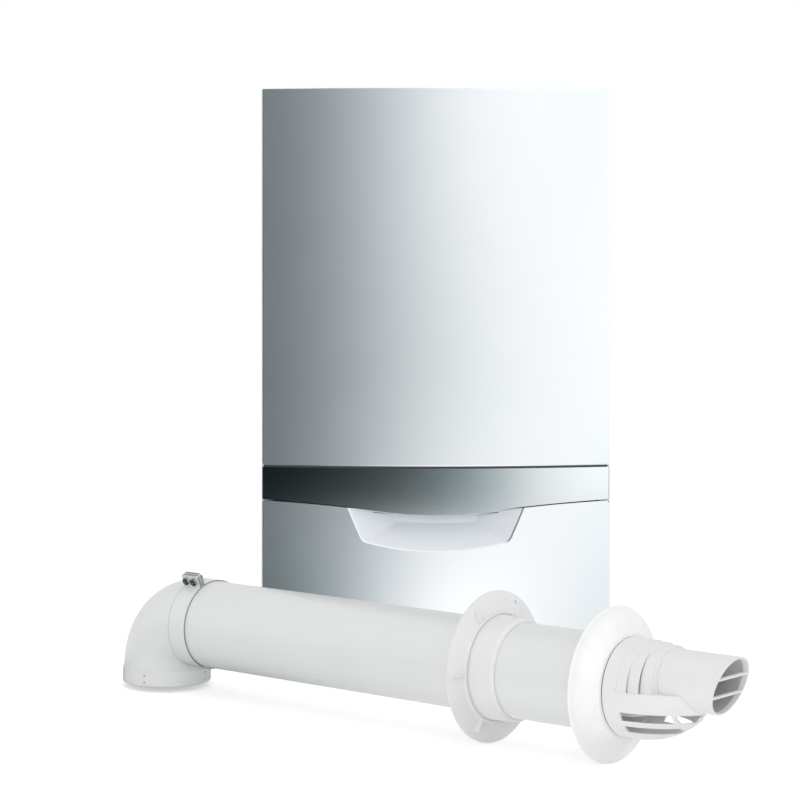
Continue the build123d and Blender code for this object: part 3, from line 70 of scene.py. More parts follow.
FRONT_BOW = 25 * MM
CASING_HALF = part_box("right_side_panel")[1].x
BOW_RADIUS = (CASING_HALF ** 2 + FRONT_BOW ** 2) / (2 * FRONT_BOW)
BOW_CENTRE = (0.0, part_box("front_panel")[0].y + BOW_RADIUS)
PEARL_METALLIC = 0.95
PEARL_ROUGHNESS = 0.36
PANEL_SKIN = 3.2 * MM
MOULDING_SKIN = 1.0 * MM
SKIN_BLEND = 0.4 * MM
ON_BOW = 0.2 * MM

# Joints of the front, which the strips close; the dark gasket strip under the front panel is painted shadow of the
# gap there

STRIP_END = CASING_HALF - 3.2 * MM
STRIP_BACK = 2.4 * MM
BAND_GROOVE = 2.2 * MM
# Setback of the dark gasket strip, whose grey is painted shadow of the gap under the front panel
SHADOW_GASKET_FRONT = 1.1 * MM
BAND_EDGE = (0.18, 0.215)
FLAP_EDGE = (0.19, 0.205)
LIP_BACK_Y = -0.322
LIP_DROP = 2.5 * MM
LIP_INSET = 0.1 * MM
RIB_HALF = 84 * MM
RIB_DROP = 3.0 * MM
RIB_WALL = 1.2 * MM
RIB_SETBACK = 0.4 * MM
TRIM_SETBACK = 0.02 * MM
TRIM_SINK = 0.4 * MM
TRIM_GAP = 0.05 * MM

# Outlet, clamp, threads, board, screws, rivets and seals

OUTLET_BORE = 30 * MM
OUTLET_SLANT = math.tan(math.radians(20))
BORE_START = 0.8 * MM
BORE_END = 1.0 * MM
BAR_DEPTH = 6.0 * MM
BAR_BLEND = 0.5 * MM
EAR_RISE = 4 * MM
CUT_START = 0.5 * MM
CUT_END = 0.3 * MM
THREAD_PITCH = 1.8 * MM
BOARD_INCH = 25.4 * MM
CASING_SCREW = (3.9 * MM, 0.7 * MM, 1.0 * MM)
CLAMP_SCREW = (4.4 * MM, 0.9 * MM, 1.2 * MM)
SCREW_GAP = 2.5 * MM
FLAT_REACH = 0.02 * MM
CAP_RINGS = ((1.0, 0.0), (1.0, 0.45), (0.94, 0.78), (0.80, 1.0))
CROSS_REACH = 0.62
COLLAR_RADIUS = 52.2 * MM
RIVET_LEVELS = (5 * MM, 13 * MM)
RIVETS_ROUND = 4
RIVET_START = 20
RIVET_RISE = 0.6 * MM
RIVET_SINK = 0.2
RIVET_CUT = -0.3
SEALS = {"socket_lip_seal": ("flue_top", 6 * MM), "elbow_lip_seal": ("elbow_flue_end", 0)}
SEAL_SINK = 0.2 * MM
SEAL_LEVELS = (0, 0.8 * MM, 1.6 * MM, 4.4 * MM)


# Sizes and colours

def length(name, description, default, **limits):
    """Property for a length in metres."""
    return bpy.props.FloatProperty(name=name, description=description, default=default,
                                   subtype="DISTANCE", unit="LENGTH", precision=5, **limits)


def lamp_power(name, description, default):
    """Property for the power of a lamp in watts."""
    return bpy.props.FloatProperty(name=name, description=description, default=default, min=0,
                                   subtype="POWER", unit="POWER")


def hex_rgb(code):
    """Linear red, green and blue of an sRGB hex colour."""
    parts = [int(code[i:i + 2], 16) / 255 for i in (0, 2, 4)]
    return tuple(c / 12.92 if c <= 0.04045 else ((c + 0.055) / 1.055) ** 2.4 for c in parts)


def colour(name, description, code):
    """Property for a surface colour."""
    return bpy.props.FloatVectorProperty(name=name, description=description, size=3, min=0, max=1,
                                         subtype="COLOR", default=hex_rgb(code))


class CasingFinish(bpy.types.PropertyGroup):
    enamel: colour("Front", "Pearl white baked enamel of the front", "f1f3f6")
    sides: colour("Sides", "White baked enamel of the sides and the top", "dfe1e3")
    band: colour("Band", "Metallic lacquer of the trim band", "d5d9db")
    moulding: colour("Flap", "White lacquer of the moulded flap and lower rim", "f1f3f6")
    recess: colour("Recess", "Plain white of the grip recess", "e3e7eb")
    zinc: colour("Zinc", "Zinc coat of the rear frame and floor sheet", "b4b8ba")
    grain: length("Enamel grain", "Width of one ripple in the sprayed enamel", 0.0022, min=0.0002)


class FlueFinish(bpy.types.PropertyGroup):
    pipe: colour("Pipe", "White lacquer of the pipe and the elbow", "e4e5e5")
    moulding: colour("Moulding", "White plastic of the head and the inner rosette", "e7e7e7")
    rubber: colour("Rubber", "Soft white rubber of the outer rosette", "f4f4f4")
    # The bore colour is also painted in the outlet's mouth, where it stands partly for the grey pipe inside and
    # partly for painted shade in the bore
    bore: colour("Bore", "Grey polypropylene inside the flue", "b4b6b7")
    seal_height: length("Seal height", "How far the lip seals stand in from the wall", 0.0012, min=0.0002)
    rivet_radius: length("Rivet", "Radius of the rivet heads on the elbow's collar", 0.0015, min=0.0005)


class ControlFinish(bpy.types.PropertyGroup):
    fascia: colour("Fascia", "Grey moulding behind the flap", "6f777b")
    key: colour("Key", "Pale grey keys and knobs", "d7dadb")
    print_ink: colour("Print", "White print on the fascia", "eef0f0")
    mark_ink: colour("Marks", "Dark print on the keys", "2c3134")
    tick_length: length("Tick", "Length of a dial tick", 0.0030, min=0.0005)
    print_height: length("Print height", "Thickness of the printed marks", 0.00012, min=0.00002)


class StudioSet(bpy.types.PropertyGroup):
    eye: bpy.props.FloatVectorProperty(name="Camera", description="Where the camera stands", size=3,
                                       subtype="XYZ", unit="LENGTH", default=(-0.045, -3.338, 0.550))
    lens: bpy.props.FloatProperty(name="Lens", description="Focal length in millimetres on a 36 mm frame",
                                  default=108.0, min=10)
    drop: bpy.props.FloatProperty(name="Shift", description="Downward shift of the lens", default=-0.22125)
    key_light: lamp_power("Key light", "Power of the large soft light on the right", 14.0)
    top_light: lamp_power("Top light", "Power of the soft light overhead", 5.0)
    front_light: lamp_power("Front light", "Power of the soft light by the camera", 60.0)
    sky: bpy.props.FloatProperty(name="Fill", description="Level of the light from all round",
                                 default=0.72, min=0)


# Materials, with the sockets of a mix node that carry its two colours and the mixed one

MIX_A = 6
MIX_B = 7
MIXED = 2


def plug(socket, value):
    """Link an output to a socket, or set the socket's own value."""
    if isinstance(value, bpy.types.NodeSocket):
        socket.id_data.links.new(value, socket)
    else:
        socket.default_value = value


def add_node(tree, kind, sockets=None, stops=(), **settings):
    """Add one node, with its settings, what its sockets hold or are fed by, and a ramp's stops."""
    made = tree.nodes.new("ShaderNode" + kind)
    for name, value in settings.items():
        setattr(made, name, value)
    for name, value in (sockets or {}).items():
        plug(made.inputs[name], value)
    for index, (position, rgb) in enumerate(stops):
        elements = made.color_ramp.elements
        stop = elements[index] if index < 2 else elements.new(position)
        stop.position = position
        stop.color = (*rgb, 1)
    return made


def open_tree(owner):
    """Node tree of a material or a world, emptied."""
    owner.use_nodes = True
    owner.node_tree.nodes.clear()
    return owner.node_tree


def new_material(name):
    """Empty material with its shader, and the tree, the shader and the object coordinates."""
    made = bpy.data.materials.new(name)
    tree = open_tree(made)
    shader = add_node(tree, "BsdfPrincipled")
    add_node(tree, "OutputMaterial", {"Surface": shader.outputs["BSDF"]})
    return made, tree, shader, add_node(tree, "TexCoord").outputs["Object"]


def reopen(made):
    """Tree, shader and object coordinates of a finished material, and the colour that its shader takes."""
    tree = made.node_tree
    shader = next(node for node in tree.nodes if node.type == "BSDF_PRINCIPLED")
    where = next(node for node in tree.nodes if node.type == "TEX_COORD").outputs["Object"]
    return tree, shader, where, shader.inputs["Base Color"].links[0].from_socket


def set_shader(shader, **values):
    """Constants or outputs on the shader's own sockets, by their names with underscores for spaces."""
    for name, value in values.items():
        plug(shader.inputs[name.replace("_", " ")], value)


def per_metre(size):
    """Texture scale at which one cell is a size in metres."""
    return 1.0 / size


def tint(tree, shader, where, rgb, size, spread):
    """Slow change of a colour across a surface, with patches of one size."""
    patch = add_node(tree, "TexNoise", {"Scale": per_metre(size), "Detail": 3.0, "Vector": where})
    dark = [max(c * (1 - spread), 0) for c in rgb]
    light = [min(c * (1 + spread * 0.4), 1) for c in rgb]
    ramp = add_node(tree, "ValToRGB", {"Fac": patch.outputs["Fac"]}, ((0.3, dark), (0.7, light)))
    set_shader(shader, Base_Color=ramp.outputs["Color"])


def rough_patches(tree, shader, where, size, low, high):
    """Roughness that wanders between two values."""
    patch = add_node(tree, "TexNoise", {"Scale": per_metre(size), "Detail": 4.0, "Vector": where})
    span = add_node(tree, "MapRange", {"To Min": low, "To Max": high, "Value": patch.outputs["Fac"]})
    set_shader(shader, Roughness=span.outputs["Result"])


def relief(tree, shader, height, depth, strength):
    """Bump of a real depth in metres from a height between 0 and 1."""
    bump = add_node(tree, "Bump", {"Strength": strength, "Distance": depth, "Height": height})
    set_shader(shader, Normal=bump.outputs["Normal"])


def grain_relief(tree, shader, where, size, detail, depth, strength):
    """Grain or ripple of one size, raised by a depth."""
    grain = add_node(tree, "TexNoise", {"Scale": per_metre(size), "Detail": detail, "Vector": where})
    relief(tree, shader, grain.outputs["Fac"], depth, strength)


def baked_enamel(name, rgb, grain, metallic, roughness):
    """Sprayed and baked enamel: a smooth satin sheet with a faint ripple and a pearl sheen."""
    made, tree, shader, where = new_material(name)
    set_shader(shader, Metallic=metallic, IOR=1.5, Coat_Weight=0.15, Coat_Roughness=0.25)
    tint(tree, shader, where, rgb, 180 * MM, 0.012)
    rough_patches(tree, shader, where, 40 * MM, roughness - 0.02, roughness + 0.03)
    grain_relief(tree, shader, where, grain, 2.0, 0.006 * MM, 0.5)
    return made


def bowed_enamel(name, rgb, plain_rgb, grain, skin_depth):
    """Pearl enamel on the bowed face, and plain satin white on what lies deeper, such as a recess."""
    made = baked_enamel(name, rgb, grain, PEARL_METALLIC, PEARL_ROUGHNESS)
    tree, shader, where, skin = reopen(made)
    from_axis = add_node(tree, "VectorMath", {0: where, 1: (*BOW_CENTRE, 0)}, operation="SUBTRACT")
    level = add_node(tree, "VectorMath", {0: from_axis.outputs[0], 1: (1, 1, 0)}, operation="MULTIPLY")
    away = add_node(tree, "VectorMath", {0: level.outputs[0]}, operation="LENGTH")
    edge = BOW_RADIUS - skin_depth
    face = add_node(tree, "MapRange", {"From Min": edge - SKIN_BLEND, "From Max": edge + SKIN_BLEND,
                                       "Value": away.outputs["Value"]}).outputs["Result"]
    metal = add_node(tree, "Math", {0: face, 1: PEARL_METALLIC}, operation="MULTIPLY")
    mixed = add_node(tree, "Mix", {"Factor": face, MIX_A: (*plain_rgb, 1), MIX_B: skin},
                     data_type="RGBA")
    set_shader(shader, Metallic=metal.outputs[0], Base_Color=mixed.outputs[MIXED])
    return made


def lacquered_plastic(name, rgb, roughness, metallic=0.0, depth=0.006 * MM, wander=0.03):
    """Moulded plastic: even colour, a soft gloss and the fine grain of its mould, about 0.6 mm wide."""
    made, tree, shader, where = new_material(name)
    set_shader(shader, Metallic=metallic, IOR=1.49, Specular_IOR_Level=0.5)
    tint(tree, shader, where, rgb, 70 * MM, 0.015)
    rough_patches(tree, shader, where, 15 * MM, roughness - wander, roughness + wander)
    grain_relief(tree, shader, where, 0.6 * MM, 2.0, depth, 0.6)
    return made


def zinc_sheet(name, rgb):
    """Hot-dipped steel: dull grey with the frosty flowers of the zinc, about 12 mm across."""
    made, tree, shader, where = new_material(name)
    flower = add_node(tree, "TexVoronoi", {"Scale": per_metre(12 * MM), "Randomness": 1.0, "Vector": where})
    shade = flower.outputs["Color"]
    ramp = add_node(tree, "ValToRGB", {"Fac": shade}, ((0, [c * 0.78 for c in rgb]), (1, rgb)))
    span = add_node(tree, "MapRange", {"To Min": 0.34, "To Max": 0.52, "Value": shade})
    set_shader(shader, Metallic=0.9, Base_Color=ramp.outputs["Color"], Roughness=span.outputs["Result"])
    relief(tree, shader, flower.outputs["Distance"], 0.01 * MM, 0.4)
    return made


def cast_metal(name, rgb, metallic=0.85, roughness=0.5):
    """Sand or die cast metal: matte skin with grains about 1 mm wide."""
    made, tree, shader, where = new_material(name)
    set_shader(shader, Metallic=metallic)
    tint(tree, shader, where, rgb, 30 * MM, 0.10)
    rough_patches(tree, shader, where, 6 * MM, roughness - 0.06, roughness + 0.08)
    grain_relief(tree, shader, where, 1.0 * MM, 4.0, 0.08 * MM, 0.6)
    return made


def drawn_metal(name, rgb, roughness, stretch):
    """Drawn or brushed metal: bright, with streaks 0.8 mm wide, longer by the factors of a stretch."""
    made, tree, shader, where = new_material(name)
    pulled = add_node(tree, "Mapping", {"Scale": tuple(1.0 / s for s in stretch), "Vector": where})
    streaks = add_node(tree, "TexNoise", {"Scale": per_metre(0.8 * MM), "Detail": 3.0,
                                          "Vector": pulled.outputs["Vector"]}).outputs["Fac"]
    ramp = add_node(tree, "ValToRGB", {"Fac": streaks}, ((0.3, [c * 0.86 for c in rgb]), (0.7, rgb)))
    span = add_node(tree, "MapRange", {"To Min": roughness - 0.05, "To Max": roughness + 0.08,
                                       "Value": streaks})
    set_shader(shader, Metallic=1.0, Base_Color=ramp.outputs["Color"], Roughness=span.outputs["Result"])
    relief(tree, shader, streaks, 0.01 * MM, 0.3)
    return made


def clamp_points():
    points = [vert.co - KIT_MIDDLE for vert in frame["nodes"]["elbow_clamp"].data.vertices]
    around = [point - KIT_ALONG * point.dot(KIT_ALONG) for point in points]
    reach = max(point.length for point in around)
    ears = [point for point in around if point.length > reach - EAR_RISE]
    return points, sum(ears, Vector()).normalized()


def lacquered_steel(name, rgb, cut_rgb):
    """White lacquered steel strip of the clamp, with darker cut edges at its sides and on its ears."""
    made = lacquered_plastic(name, rgb, 0.34)
    tree, shader, where, skin = reopen(made)
    points, up = clamp_points()
    from_kit = add_node(tree, "VectorMath", {0: where, 1: KIT_MIDDLE}, operation="SUBTRACT").outputs[0]
    for direction in (KIT_ALONG, -KIT_ALONG, up):
        reach = max(point.dot(direction) for point in points)
        along = add_node(tree, "VectorMath", {0: from_kit, 1: direction}, operation="DOT_PRODUCT")
        cut = add_node(tree, "MapRange", {"From Min": reach - CUT_START, "From Max": reach - CUT_END,
                                          "Value": along.outputs["Value"]})
        mixed = add_node(tree, "Mix", {"Factor": cut.outputs["Result"], MIX_A: skin, MIX_B: (*cut_rgb, 1)},
                         data_type="RGBA")
        skin = mixed.outputs[MIXED]
    set_shader(shader, Base_Color=skin)
    return made


def outlet_plastic(name, rgb, bore_and_shade_rgb):
    """White moulded outlet whose bore, behind the bars of its oblique mouth, is painted grey: partly the grey flue
    pipe inside, partly painted shade in the bore.
    """
    made = lacquered_plastic(name, rgb, 0.40)
    tree, shader, where, skin = reopen(made)
    axis = Vector((*KIT_MIDDLE.xy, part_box("terminal_outlet")[1].z - OUTLET_BORE))
    points = [vert.co - axis for vert in frame["nodes"]["terminal_outlet"].data.vertices]
    reach = max(point.dot(KIT_ALONG) for point in points) - OUTLET_SLANT * OUTLET_BORE
    from_axis = add_node(tree, "VectorMath", {0: where, 1: axis}, operation="SUBTRACT").outputs[0]
    across = add_node(tree, "VectorMath", {0: from_axis, 1: KIT_ALONG}, operation="CROSS_PRODUCT")
    away = add_node(tree, "VectorMath", {0: across.outputs[0]}, operation="LENGTH")
    inside = add_node(tree, "MapRange", {"From Min": OUTLET_BORE - BORE_START,
                                         "From Max": OUTLET_BORE - BORE_END,
                                         "Value": away.outputs["Value"]})
    inward = Vector((0, 0, OUTLET_SLANT)) - KIT_ALONG
    depth = add_node(tree, "VectorMath", {0: from_axis, 1: inward}, operation="DOT_PRODUCT")
    behind = add_node(tree, "MapRange", {"From Min": BAR_DEPTH - BAR_BLEND - reach,
                                         "From Max": BAR_DEPTH + BAR_BLEND - reach,
                                         "Value": depth.outputs["Value"]})
    both = add_node(tree, "Math", {0: inside.outputs["Result"], 1: behind.outputs["Result"]},
                    operation="MULTIPLY")
    # Grey laid on the outlet's own bore behind the bars: partly the flue pipe inside, partly painted shade
    mixed = add_node(tree, "Mix", {"Factor": both.outputs[0], MIX_A: skin, MIX_B: (*bore_and_shade_rgb, 1)},
                     data_type="RGBA")
    set_shader(shader, Base_Color=mixed.outputs[MIXED])
    return made


def threaded_brass(name, rgb):
    """Turned brass with the ridges of a pipe thread, drawn twice as wide so that they show."""
    made, tree, shader, where = new_material(name)
    set_shader(shader, Metallic=1.0)
    tint(tree, shader, where, rgb, 12 * MM, 0.12)
    rough_patches(tree, shader, where, 4 * MM, 0.24, 0.38)
    turns = per_metre(2 * THREAD_PITCH) * 2 * math.pi / 20
    ridge = add_node(tree, "TexWave", {"Scale": turns, "Distortion": 0.0, "Vector": where},
                     wave_type="BANDS", bands_direction="Z")
    relief(tree, shader, ridge.outputs["Fac"], 0.6 * MM, 0.7)
    return made


def soft_rubber(name, rgb, roughness):
    """Moulded rubber: matte and a little dusty, with a soft sheen at its edges."""
    made, tree, shader, where = new_material(name)
    set_shader(shader, IOR=1.5, Sheen_Weight=0.15, Sheen_Roughness=0.5)
    tint(tree, shader, where, rgb, 20 * MM, 0.03)
    rough_patches(tree, shader, where, 10 * MM, roughness - 0.05, roughness + 0.08)
    grain_relief(tree, shader, where, 1.2 * MM, 2.0, 0.02 * MM, 0.4)
    return made


def board_laminate(name, rgb):
    """Glass-fibre board with solder mask: copper tracks about 5 mm apart show as lighter lines."""
    made, tree, shader, where = new_material(name)
    turned = add_node(tree, "Mapping", {"Rotation": (math.radians(90), 0, 0), "Vector": where})
    tracks = add_node(tree, "TexBrick", {"Scale": per_metre(BOARD_INCH), "Mortar Size": 0.04,
                                         "Brick Width": 0.4, "Row Height": 0.2, "Color1": (*rgb, 1),
                                         "Color2": (*[c * 0.7 for c in rgb], 1),
                                         "Mortar": (*[min(c * 1.9, 1) for c in rgb], 1),
                                         "Vector": turned.outputs["Vector"]})
    set_shader(shader, IOR=1.5, Roughness=0.35, Coat_Weight=0.3, Base_Color=tracks.outputs["Color"])
    relief(tree, shader, tracks.outputs["Fac"], 0.04 * MM, 0.5)
    return made


def clear_window(name, rgb, alpha):
    """Tinted acrylic window: smooth, glossy and partly see-through."""
    made, tree, shader, where = new_material(name)
    set_shader(shader, Base_Color=(*rgb, 1), Roughness=0.06, IOR=1.49, Alpha=alpha)
    grain_relief(tree, shader, where, 30 * MM, 2.0, 0.01 * MM, 0.2)
    return made


def printed_ink(name, rgb, glow=0.0):
    """Screen-printed ink: a flat film whose gloss varies a little."""
    made, tree, shader, where = new_material(name)
    set_shader(shader, IOR=1.5, Emission_Color=(*rgb, 1), Emission_Strength=glow)
    tint(tree, shader, where, rgb, 2 * MM, 0.03)
    rough_patches(tree, shader, where, 1 * MM, 0.45, 0.6)
    return made


FINISHES = {}


def make_finishes(scene):
    """Make every material once, from the colours in the panel and the hex colours of the rest."""
    casing, flue, controls = scene.casing_finish, scene.flue_finish, scene.control_finish
    rows = {
        "pearl enamel": (bowed_enamel, casing.enamel, casing.sides, casing.grain, PANEL_SKIN),
        "white enamel": (baked_enamel, casing.sides, casing.grain, 0.0, 0.34),
        "dark metallic lacquer": (lacquered_plastic, casing.band, 0.13, 1.0, 0.006 * MM, 0.006),
        "white lacquered moulding": (bowed_enamel, casing.moulding, casing.recess, casing.grain,
                                     MOULDING_SKIN),
        "zinc coated sheet": (zinc_sheet, casing.zinc),
        "lacquered flue pipe": (lacquered_plastic, flue.pipe, 0.34),
        "moulded white polypropylene": (lacquered_plastic, flue.moulding, 0.40),
        "soft white rubber": (soft_rubber, flue.rubber, 0.55),
        # Outlet whose bore is painted grey, partly as the grey pipe inside and partly as painted shade
        "white and grey outlet": (outlet_plastic, flue.moulding, flue.bore),
        "grey polypropylene": (lacquered_plastic, flue.bore, 0.50),
        "zinc screws": (drawn_metal, "8f9294", 0.34, (1, 1, 1)),
        "lacquered steel strip": (lacquered_steel, flue.pipe, "85888a"),
        "glass filled nylon": (lacquered_plastic, "1d1f20", 0.55),
        "stainless sheet": (drawn_metal, "b9b6ae", 0.28, (1, 30, 1)),
        "die cast aluminium": (cast_metal, "b2b4b5"),
        "drawn copper": (drawn_metal, "c47a54", 0.30, (1, 1, 40)),
        "turned brass": (threaded_brass, "c9a75e"),
        "painted cast iron": (cast_metal, "34373a", 0.1, 0.55),
        "black motor can": (lacquered_plastic, "26282a", 0.4, 0.2),
        "vessel enamel": (baked_enamel, "a81c17", casing.grain, 0.0, 0.35),
        "glazed ceramic": (lacquered_plastic, "e8e3d4", 0.18),
        "circuit board": (board_laminate, "1f6b3b"),
        "fascia moulding": (lacquered_plastic, controls.fascia, 0.48, 0.0, 0.02 * MM),
        "key moulding": (lacquered_plastic, controls.key, 0.42),
        "display window": (clear_window, "20262a", 0.35),
        "clear polycarbonate": (clear_window, "f4f6f6", 0.12),
        "gauge moulding": (lacquered_plastic, "1b1c1d", 0.38),
        "red needle": (lacquered_plastic, "d8251b", 0.4),
        "white print": (printed_ink, controls.print_ink),
        "dark print": (printed_ink, controls.mark_ink),
        "lit segments": (printed_ink, "bfe6ff", 1.5),
        "display ground": (lacquered_plastic, "0c1418", 0.3),
        "dial card": (printed_ink, "f3f3ef"),
        "green print": (printed_ink, "2c9c4a"),
        "red print": (printed_ink, "c8312a"),
        "black seal rubber": (soft_rubber, "1c1d1e", 0.65),
        # Gasket strip under the front panel: its dark grey is painted shadow of the gap between the panel and the
        # band
        "grey gasket rubber": (soft_rubber, "3a3f42", 0.65),
    }
    for name, (maker, *values) in rows.items():
        values = [hex_rgb(value) if isinstance(value, str) else value for value in values]
        FINISHES[name] = maker(name, *values)


NODE_FINISH = {
    "pearl enamel": ["front_panel"],
    "white enamel": ["left_side_panel", "right_side_panel", "top_panel"],
    "dark metallic lacquer": ["trim_band"],
    "white lacquered moulding": ["front_flap", "lower_rim"],
    "zinc coated sheet": ["rear_frame", "wall_bracket", "bottom_plate"],
    "zinc screws": ["casing_screws", "clamp_screws"],
    "lacquered steel strip": ["elbow_clamp"],
    "lacquered flue pipe": ["flue_elbow", "flue_pipe_outer"],
    "moulded white polypropylene": ["terminal_head", "inner_rosette"],
    "white and grey outlet": ["terminal_outlet"],
    "soft white rubber": ["outer_rosette"],
    "grey polypropylene": ["flue_pipe_inner", "flue_socket", "flue_duct", "condensate_trap"],
    "glass filled nylon": ["fan_housing", "fan_impeller", "air_intake_tube", "diverter_motor",
                           "electronics_box", "pump_rotor"],
    "stainless sheet": ["heat_exchanger_shell", "burner", "plate_heat_exchanger"],
    "die cast aluminium": ["heat_exchanger_coil", "burner_door", "fan_motor", "gas_valve"],
    "drawn copper": ["gas_pipe", "heating_pipes"],
    "turned brass": ["flow_block", "return_block", "connection_stubs", "safety_valve", "diverter_spindle"],
    "painted cast iron": ["pump_body"],
    "black motor can": ["pump_motor"],
    "vessel enamel": ["expansion_vessel"],
    "glazed ceramic": ["ignition_electrode"],
    "circuit board": ["circuit_board"],
    "fascia moulding": ["control_panel"],
    "display window": ["display_lens"],
    "key moulding": ["hot_water_knob", "heating_knob", "left_key", "minus_key", "plus_key", "right_key",
                     "power_key", "reset_key"],
    "gauge moulding": ["pressure_gauge"],
    "red needle": ["gauge_needle"],
}
CASING_FINISHES = ("pearl enamel", "white enamel", "dark metallic lacquer", "white lacquered moulding",
                   "zinc coated sheet", "zinc screws")
INSIDE_FINISHES = ("glass filled nylon", "stainless sheet", "die cast aluminium", "drawn copper",
                   "turned brass", "painted cast iron", "black motor can", "vessel enamel", "glazed ceramic",
                   "circuit board")
FLUE_FINISHES = ("lacquered flue pipe", "moulded white polypropylene", "soft white rubber",
                 "grey polypropylene", "white and grey outlet", "lacquered steel strip")
KIT_NODES = ("flue_elbow", "flue_pipe_outer", "flue_pipe_inner", "terminal_head", "terminal_outlet",
             "inner_rosette", "outer_rosette", "elbow_clamp", "clamp_screws")


def dress(*finishes):
    """Give the frame's nodes of some finishes their materials."""
    for finish in finishes:
        for name in NODE_FINISH[finish]:
            node = frame["nodes"][name]
            node.data.materials.clear()
            node.data.materials.append(FINISHES[finish])


# Making pieces

PRINT_EDGE = 0.3


def to_object(shape, name):
    """Object at the origin with the mesh of a finished bmesh."""
    mesh = bpy.data.meshes.new(name)
    shape.to_mesh(mesh)
    shape.free()
    made = bpy.data.objects.new(name, mesh)
    bpy.context.scene.collection.objects.link(made)
    return made


def keep_piece(shape, name, finish, body, smooth=True):
    """Turn a bmesh into a piece of the object that rides on a body."""
    bmesh.ops.remove_doubles(shape, verts=shape.verts, dist=MERGE_REACH)
    bmesh.ops.recalc_face_normals(shape, faces=shape.faces)
    piece = to_object(shape, name)
    if smooth:
        piece.data.shade_smooth()
        piece.data.set_sharp_from_angle(angle=SHARP_ANGLE)
    piece.data.materials.append(FINISHES[finish])
    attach(piece, body)


def facing(centre, out=Vector((0, -1, 0))):
    """Matrix that lays a flat drawing on a face: its X to the right, its Y up, its Z out of the face."""
    out = Vector(out).normalized()
    up = Vector((0, 0, 1)) if abs(out.z) < 0.9 else Vector((0, 1, 0))
    right = up.cross(out).normalized()
    up = out.cross(right)
    basis = Matrix((right, up, out)).transposed().to_4x4()
    return Matrix.Translation(centre) @ basis


def add_bar(shape, place, size, height, at=(0, 0), turn=0.0):
    """Raised bar of a length and a width, lying in a drawing."""
    spot = place @ Matrix.Translation((at[0], at[1], height / 2)) @ Matrix.Rotation(turn, 4, "Z")
    spot = spot @ Matrix.Diagonal((*size, height, 1))
    made = bmesh.ops.create_cube(shape, size=1.0, matrix=spot)
    edges = {edge for vert in made["verts"] for edge in vert.link_edges}
    rims = [edge for edge in edges if all((place.inverted() @ v.co).z > height / 2 for v in edge.verts)]
    bmesh.ops.bevel(shape, geom=rims, offset=height * PRINT_EDGE, segments=1, profile=0.5, affect="EDGES",
                    material=-1)


def add_sign(shape, place, bars, height):
    """Raised sign of bars, each with its length, width, place across and up in millimetres, and its turn."""
    for long, wide, x, y, turn in bars:
        add_bar(shape, place, (long * MM, wide * MM), height, (x * MM, y * MM), math.radians(turn))


def add_disc(shape, place, radius, height, at=(0, 0), sides=48):
    """Raised round or many-sided spot in a drawing."""
    spot = place @ Matrix.Translation((at[0], at[1], 0))
    made = bmesh.ops.create_circle(shape, cap_ends=True, radius=radius, segments=sides, matrix=spot)
    face = made["verts"][0].link_faces[0]
    pushed = bmesh.ops.extrude_face_region(shape, geom=[face])
    verts = [item for item in pushed["geom"] if isinstance(item, bmesh.types.BMVert)]
    bmesh.ops.translate(shape, verts=verts, vec=place.to_3x3() @ Vector((0, 0, height)))


def loop_edges(shape, verts):
    """Edges that join vertices into a closed loop."""
    return [shape.edges.new((verts[i], verts[(i + 1) % len(verts)])) for i in range(len(verts))]


def close_ends(shape, verts, spun):
    """Fill the first and the last outline of a part turn."""
    shape.faces.new(verts)
    last = [item for item in spun["geom_last"] if isinstance(item, bmesh.types.BMEdge)]
    bmesh.ops.edgeloop_fill(shape, edges=last)


def add_arc(shape, place, radius, width, height, start, sweep, steps):
    """Raised ring or part of a ring in a drawing, from a start angle through a sweep in degrees."""
    first = place @ Matrix.Rotation(math.radians(start), 4, "Z")
    inner, outer = radius - width / 2, radius + width / 2
    corners = [(inner, 0), (outer, 0), (outer, height), (inner, height)]
    verts = [shape.verts.new(first @ Vector((x, 0, z))) for x, z in corners]
    whole = abs(sweep) >= 360
    spun = bmesh.ops.spin(shape, geom=verts + loop_edges(shape, verts), cent=place @ Vector((0, 0, 0)),
                          axis=place.to_3x3() @ Vector((0, 0, 1)), angle=math.radians(sweep), steps=steps,
                          use_merge=whole)
    if not whole:
        close_ends(shape, verts, spun)


def turned_ring(shape, centre, axis, outline, steps=64):
    """Ring turned from a closed outline of (radius, distance along the axis) points."""
    axis = Vector(axis).normalized()
    side = axis.orthogonal().normalized()
    verts = [shape.verts.new(centre + side * r + axis * d) for r, d in outline]
    bmesh.ops.spin(shape, geom=verts + loop_edges(shape, verts), cent=centre, axis=axis,
                   angle=math.radians(360), steps=steps, use_merge=True)


def bow_strip(shape, start, end, low, high, rise, outer, inner, steps):
    """Strip along the bowed front between two places across it, set back at its outer and inner faces."""
    angles = [math.asin(x / BOW_RADIUS) for x in (start, end)]
    centre = Vector((*BOW_CENTRE, 0))
    first = Matrix.Rotation(angles[0], 3, "Z")
    section = [(BOW_RADIUS - outer, low), (BOW_RADIUS - outer, high), (BOW_RADIUS - inner, high),
               (BOW_RADIUS - inner, low)]
    verts = [shape.verts.new(centre + first @ Vector((0, -away, z))) for away, z in section]
    spun = bmesh.ops.spin(shape, geom=verts + loop_edges(shape, verts), cent=centre, axis=(0, 0, 1),
                          angle=angles[1] - angles[0], steps=steps, dvec=(0, 0, rise / steps))
    close_ends(shape, verts, spun)


def front_line(node, low, high):
    """Lowest points, across and up, of a front piece on the bowed face between two levels."""
    found = {}
    for vert in frame["nodes"][node].data.vertices:
        x, y, z = vert.co
        if low < z < high and math.hypot(x, y - BOW_CENTRE[1]) > BOW_RADIUS - ON_BOW:
            found.setdefault(round(x, 5), []).append(z)
    return [(x, min(levels)) for x, levels in sorted(found.items())]


def level_at(line, x):
    """Level of a line of points at a place across the front."""
    for (x0, z0), (x1, z1) in zip(line, line[1:]):
        if x0 <= x <= x1:
            return z0 + (z1 - z0) * (x - x0) / (x1 - x0)
    raise ValueError("no point of the line at " + str(x))


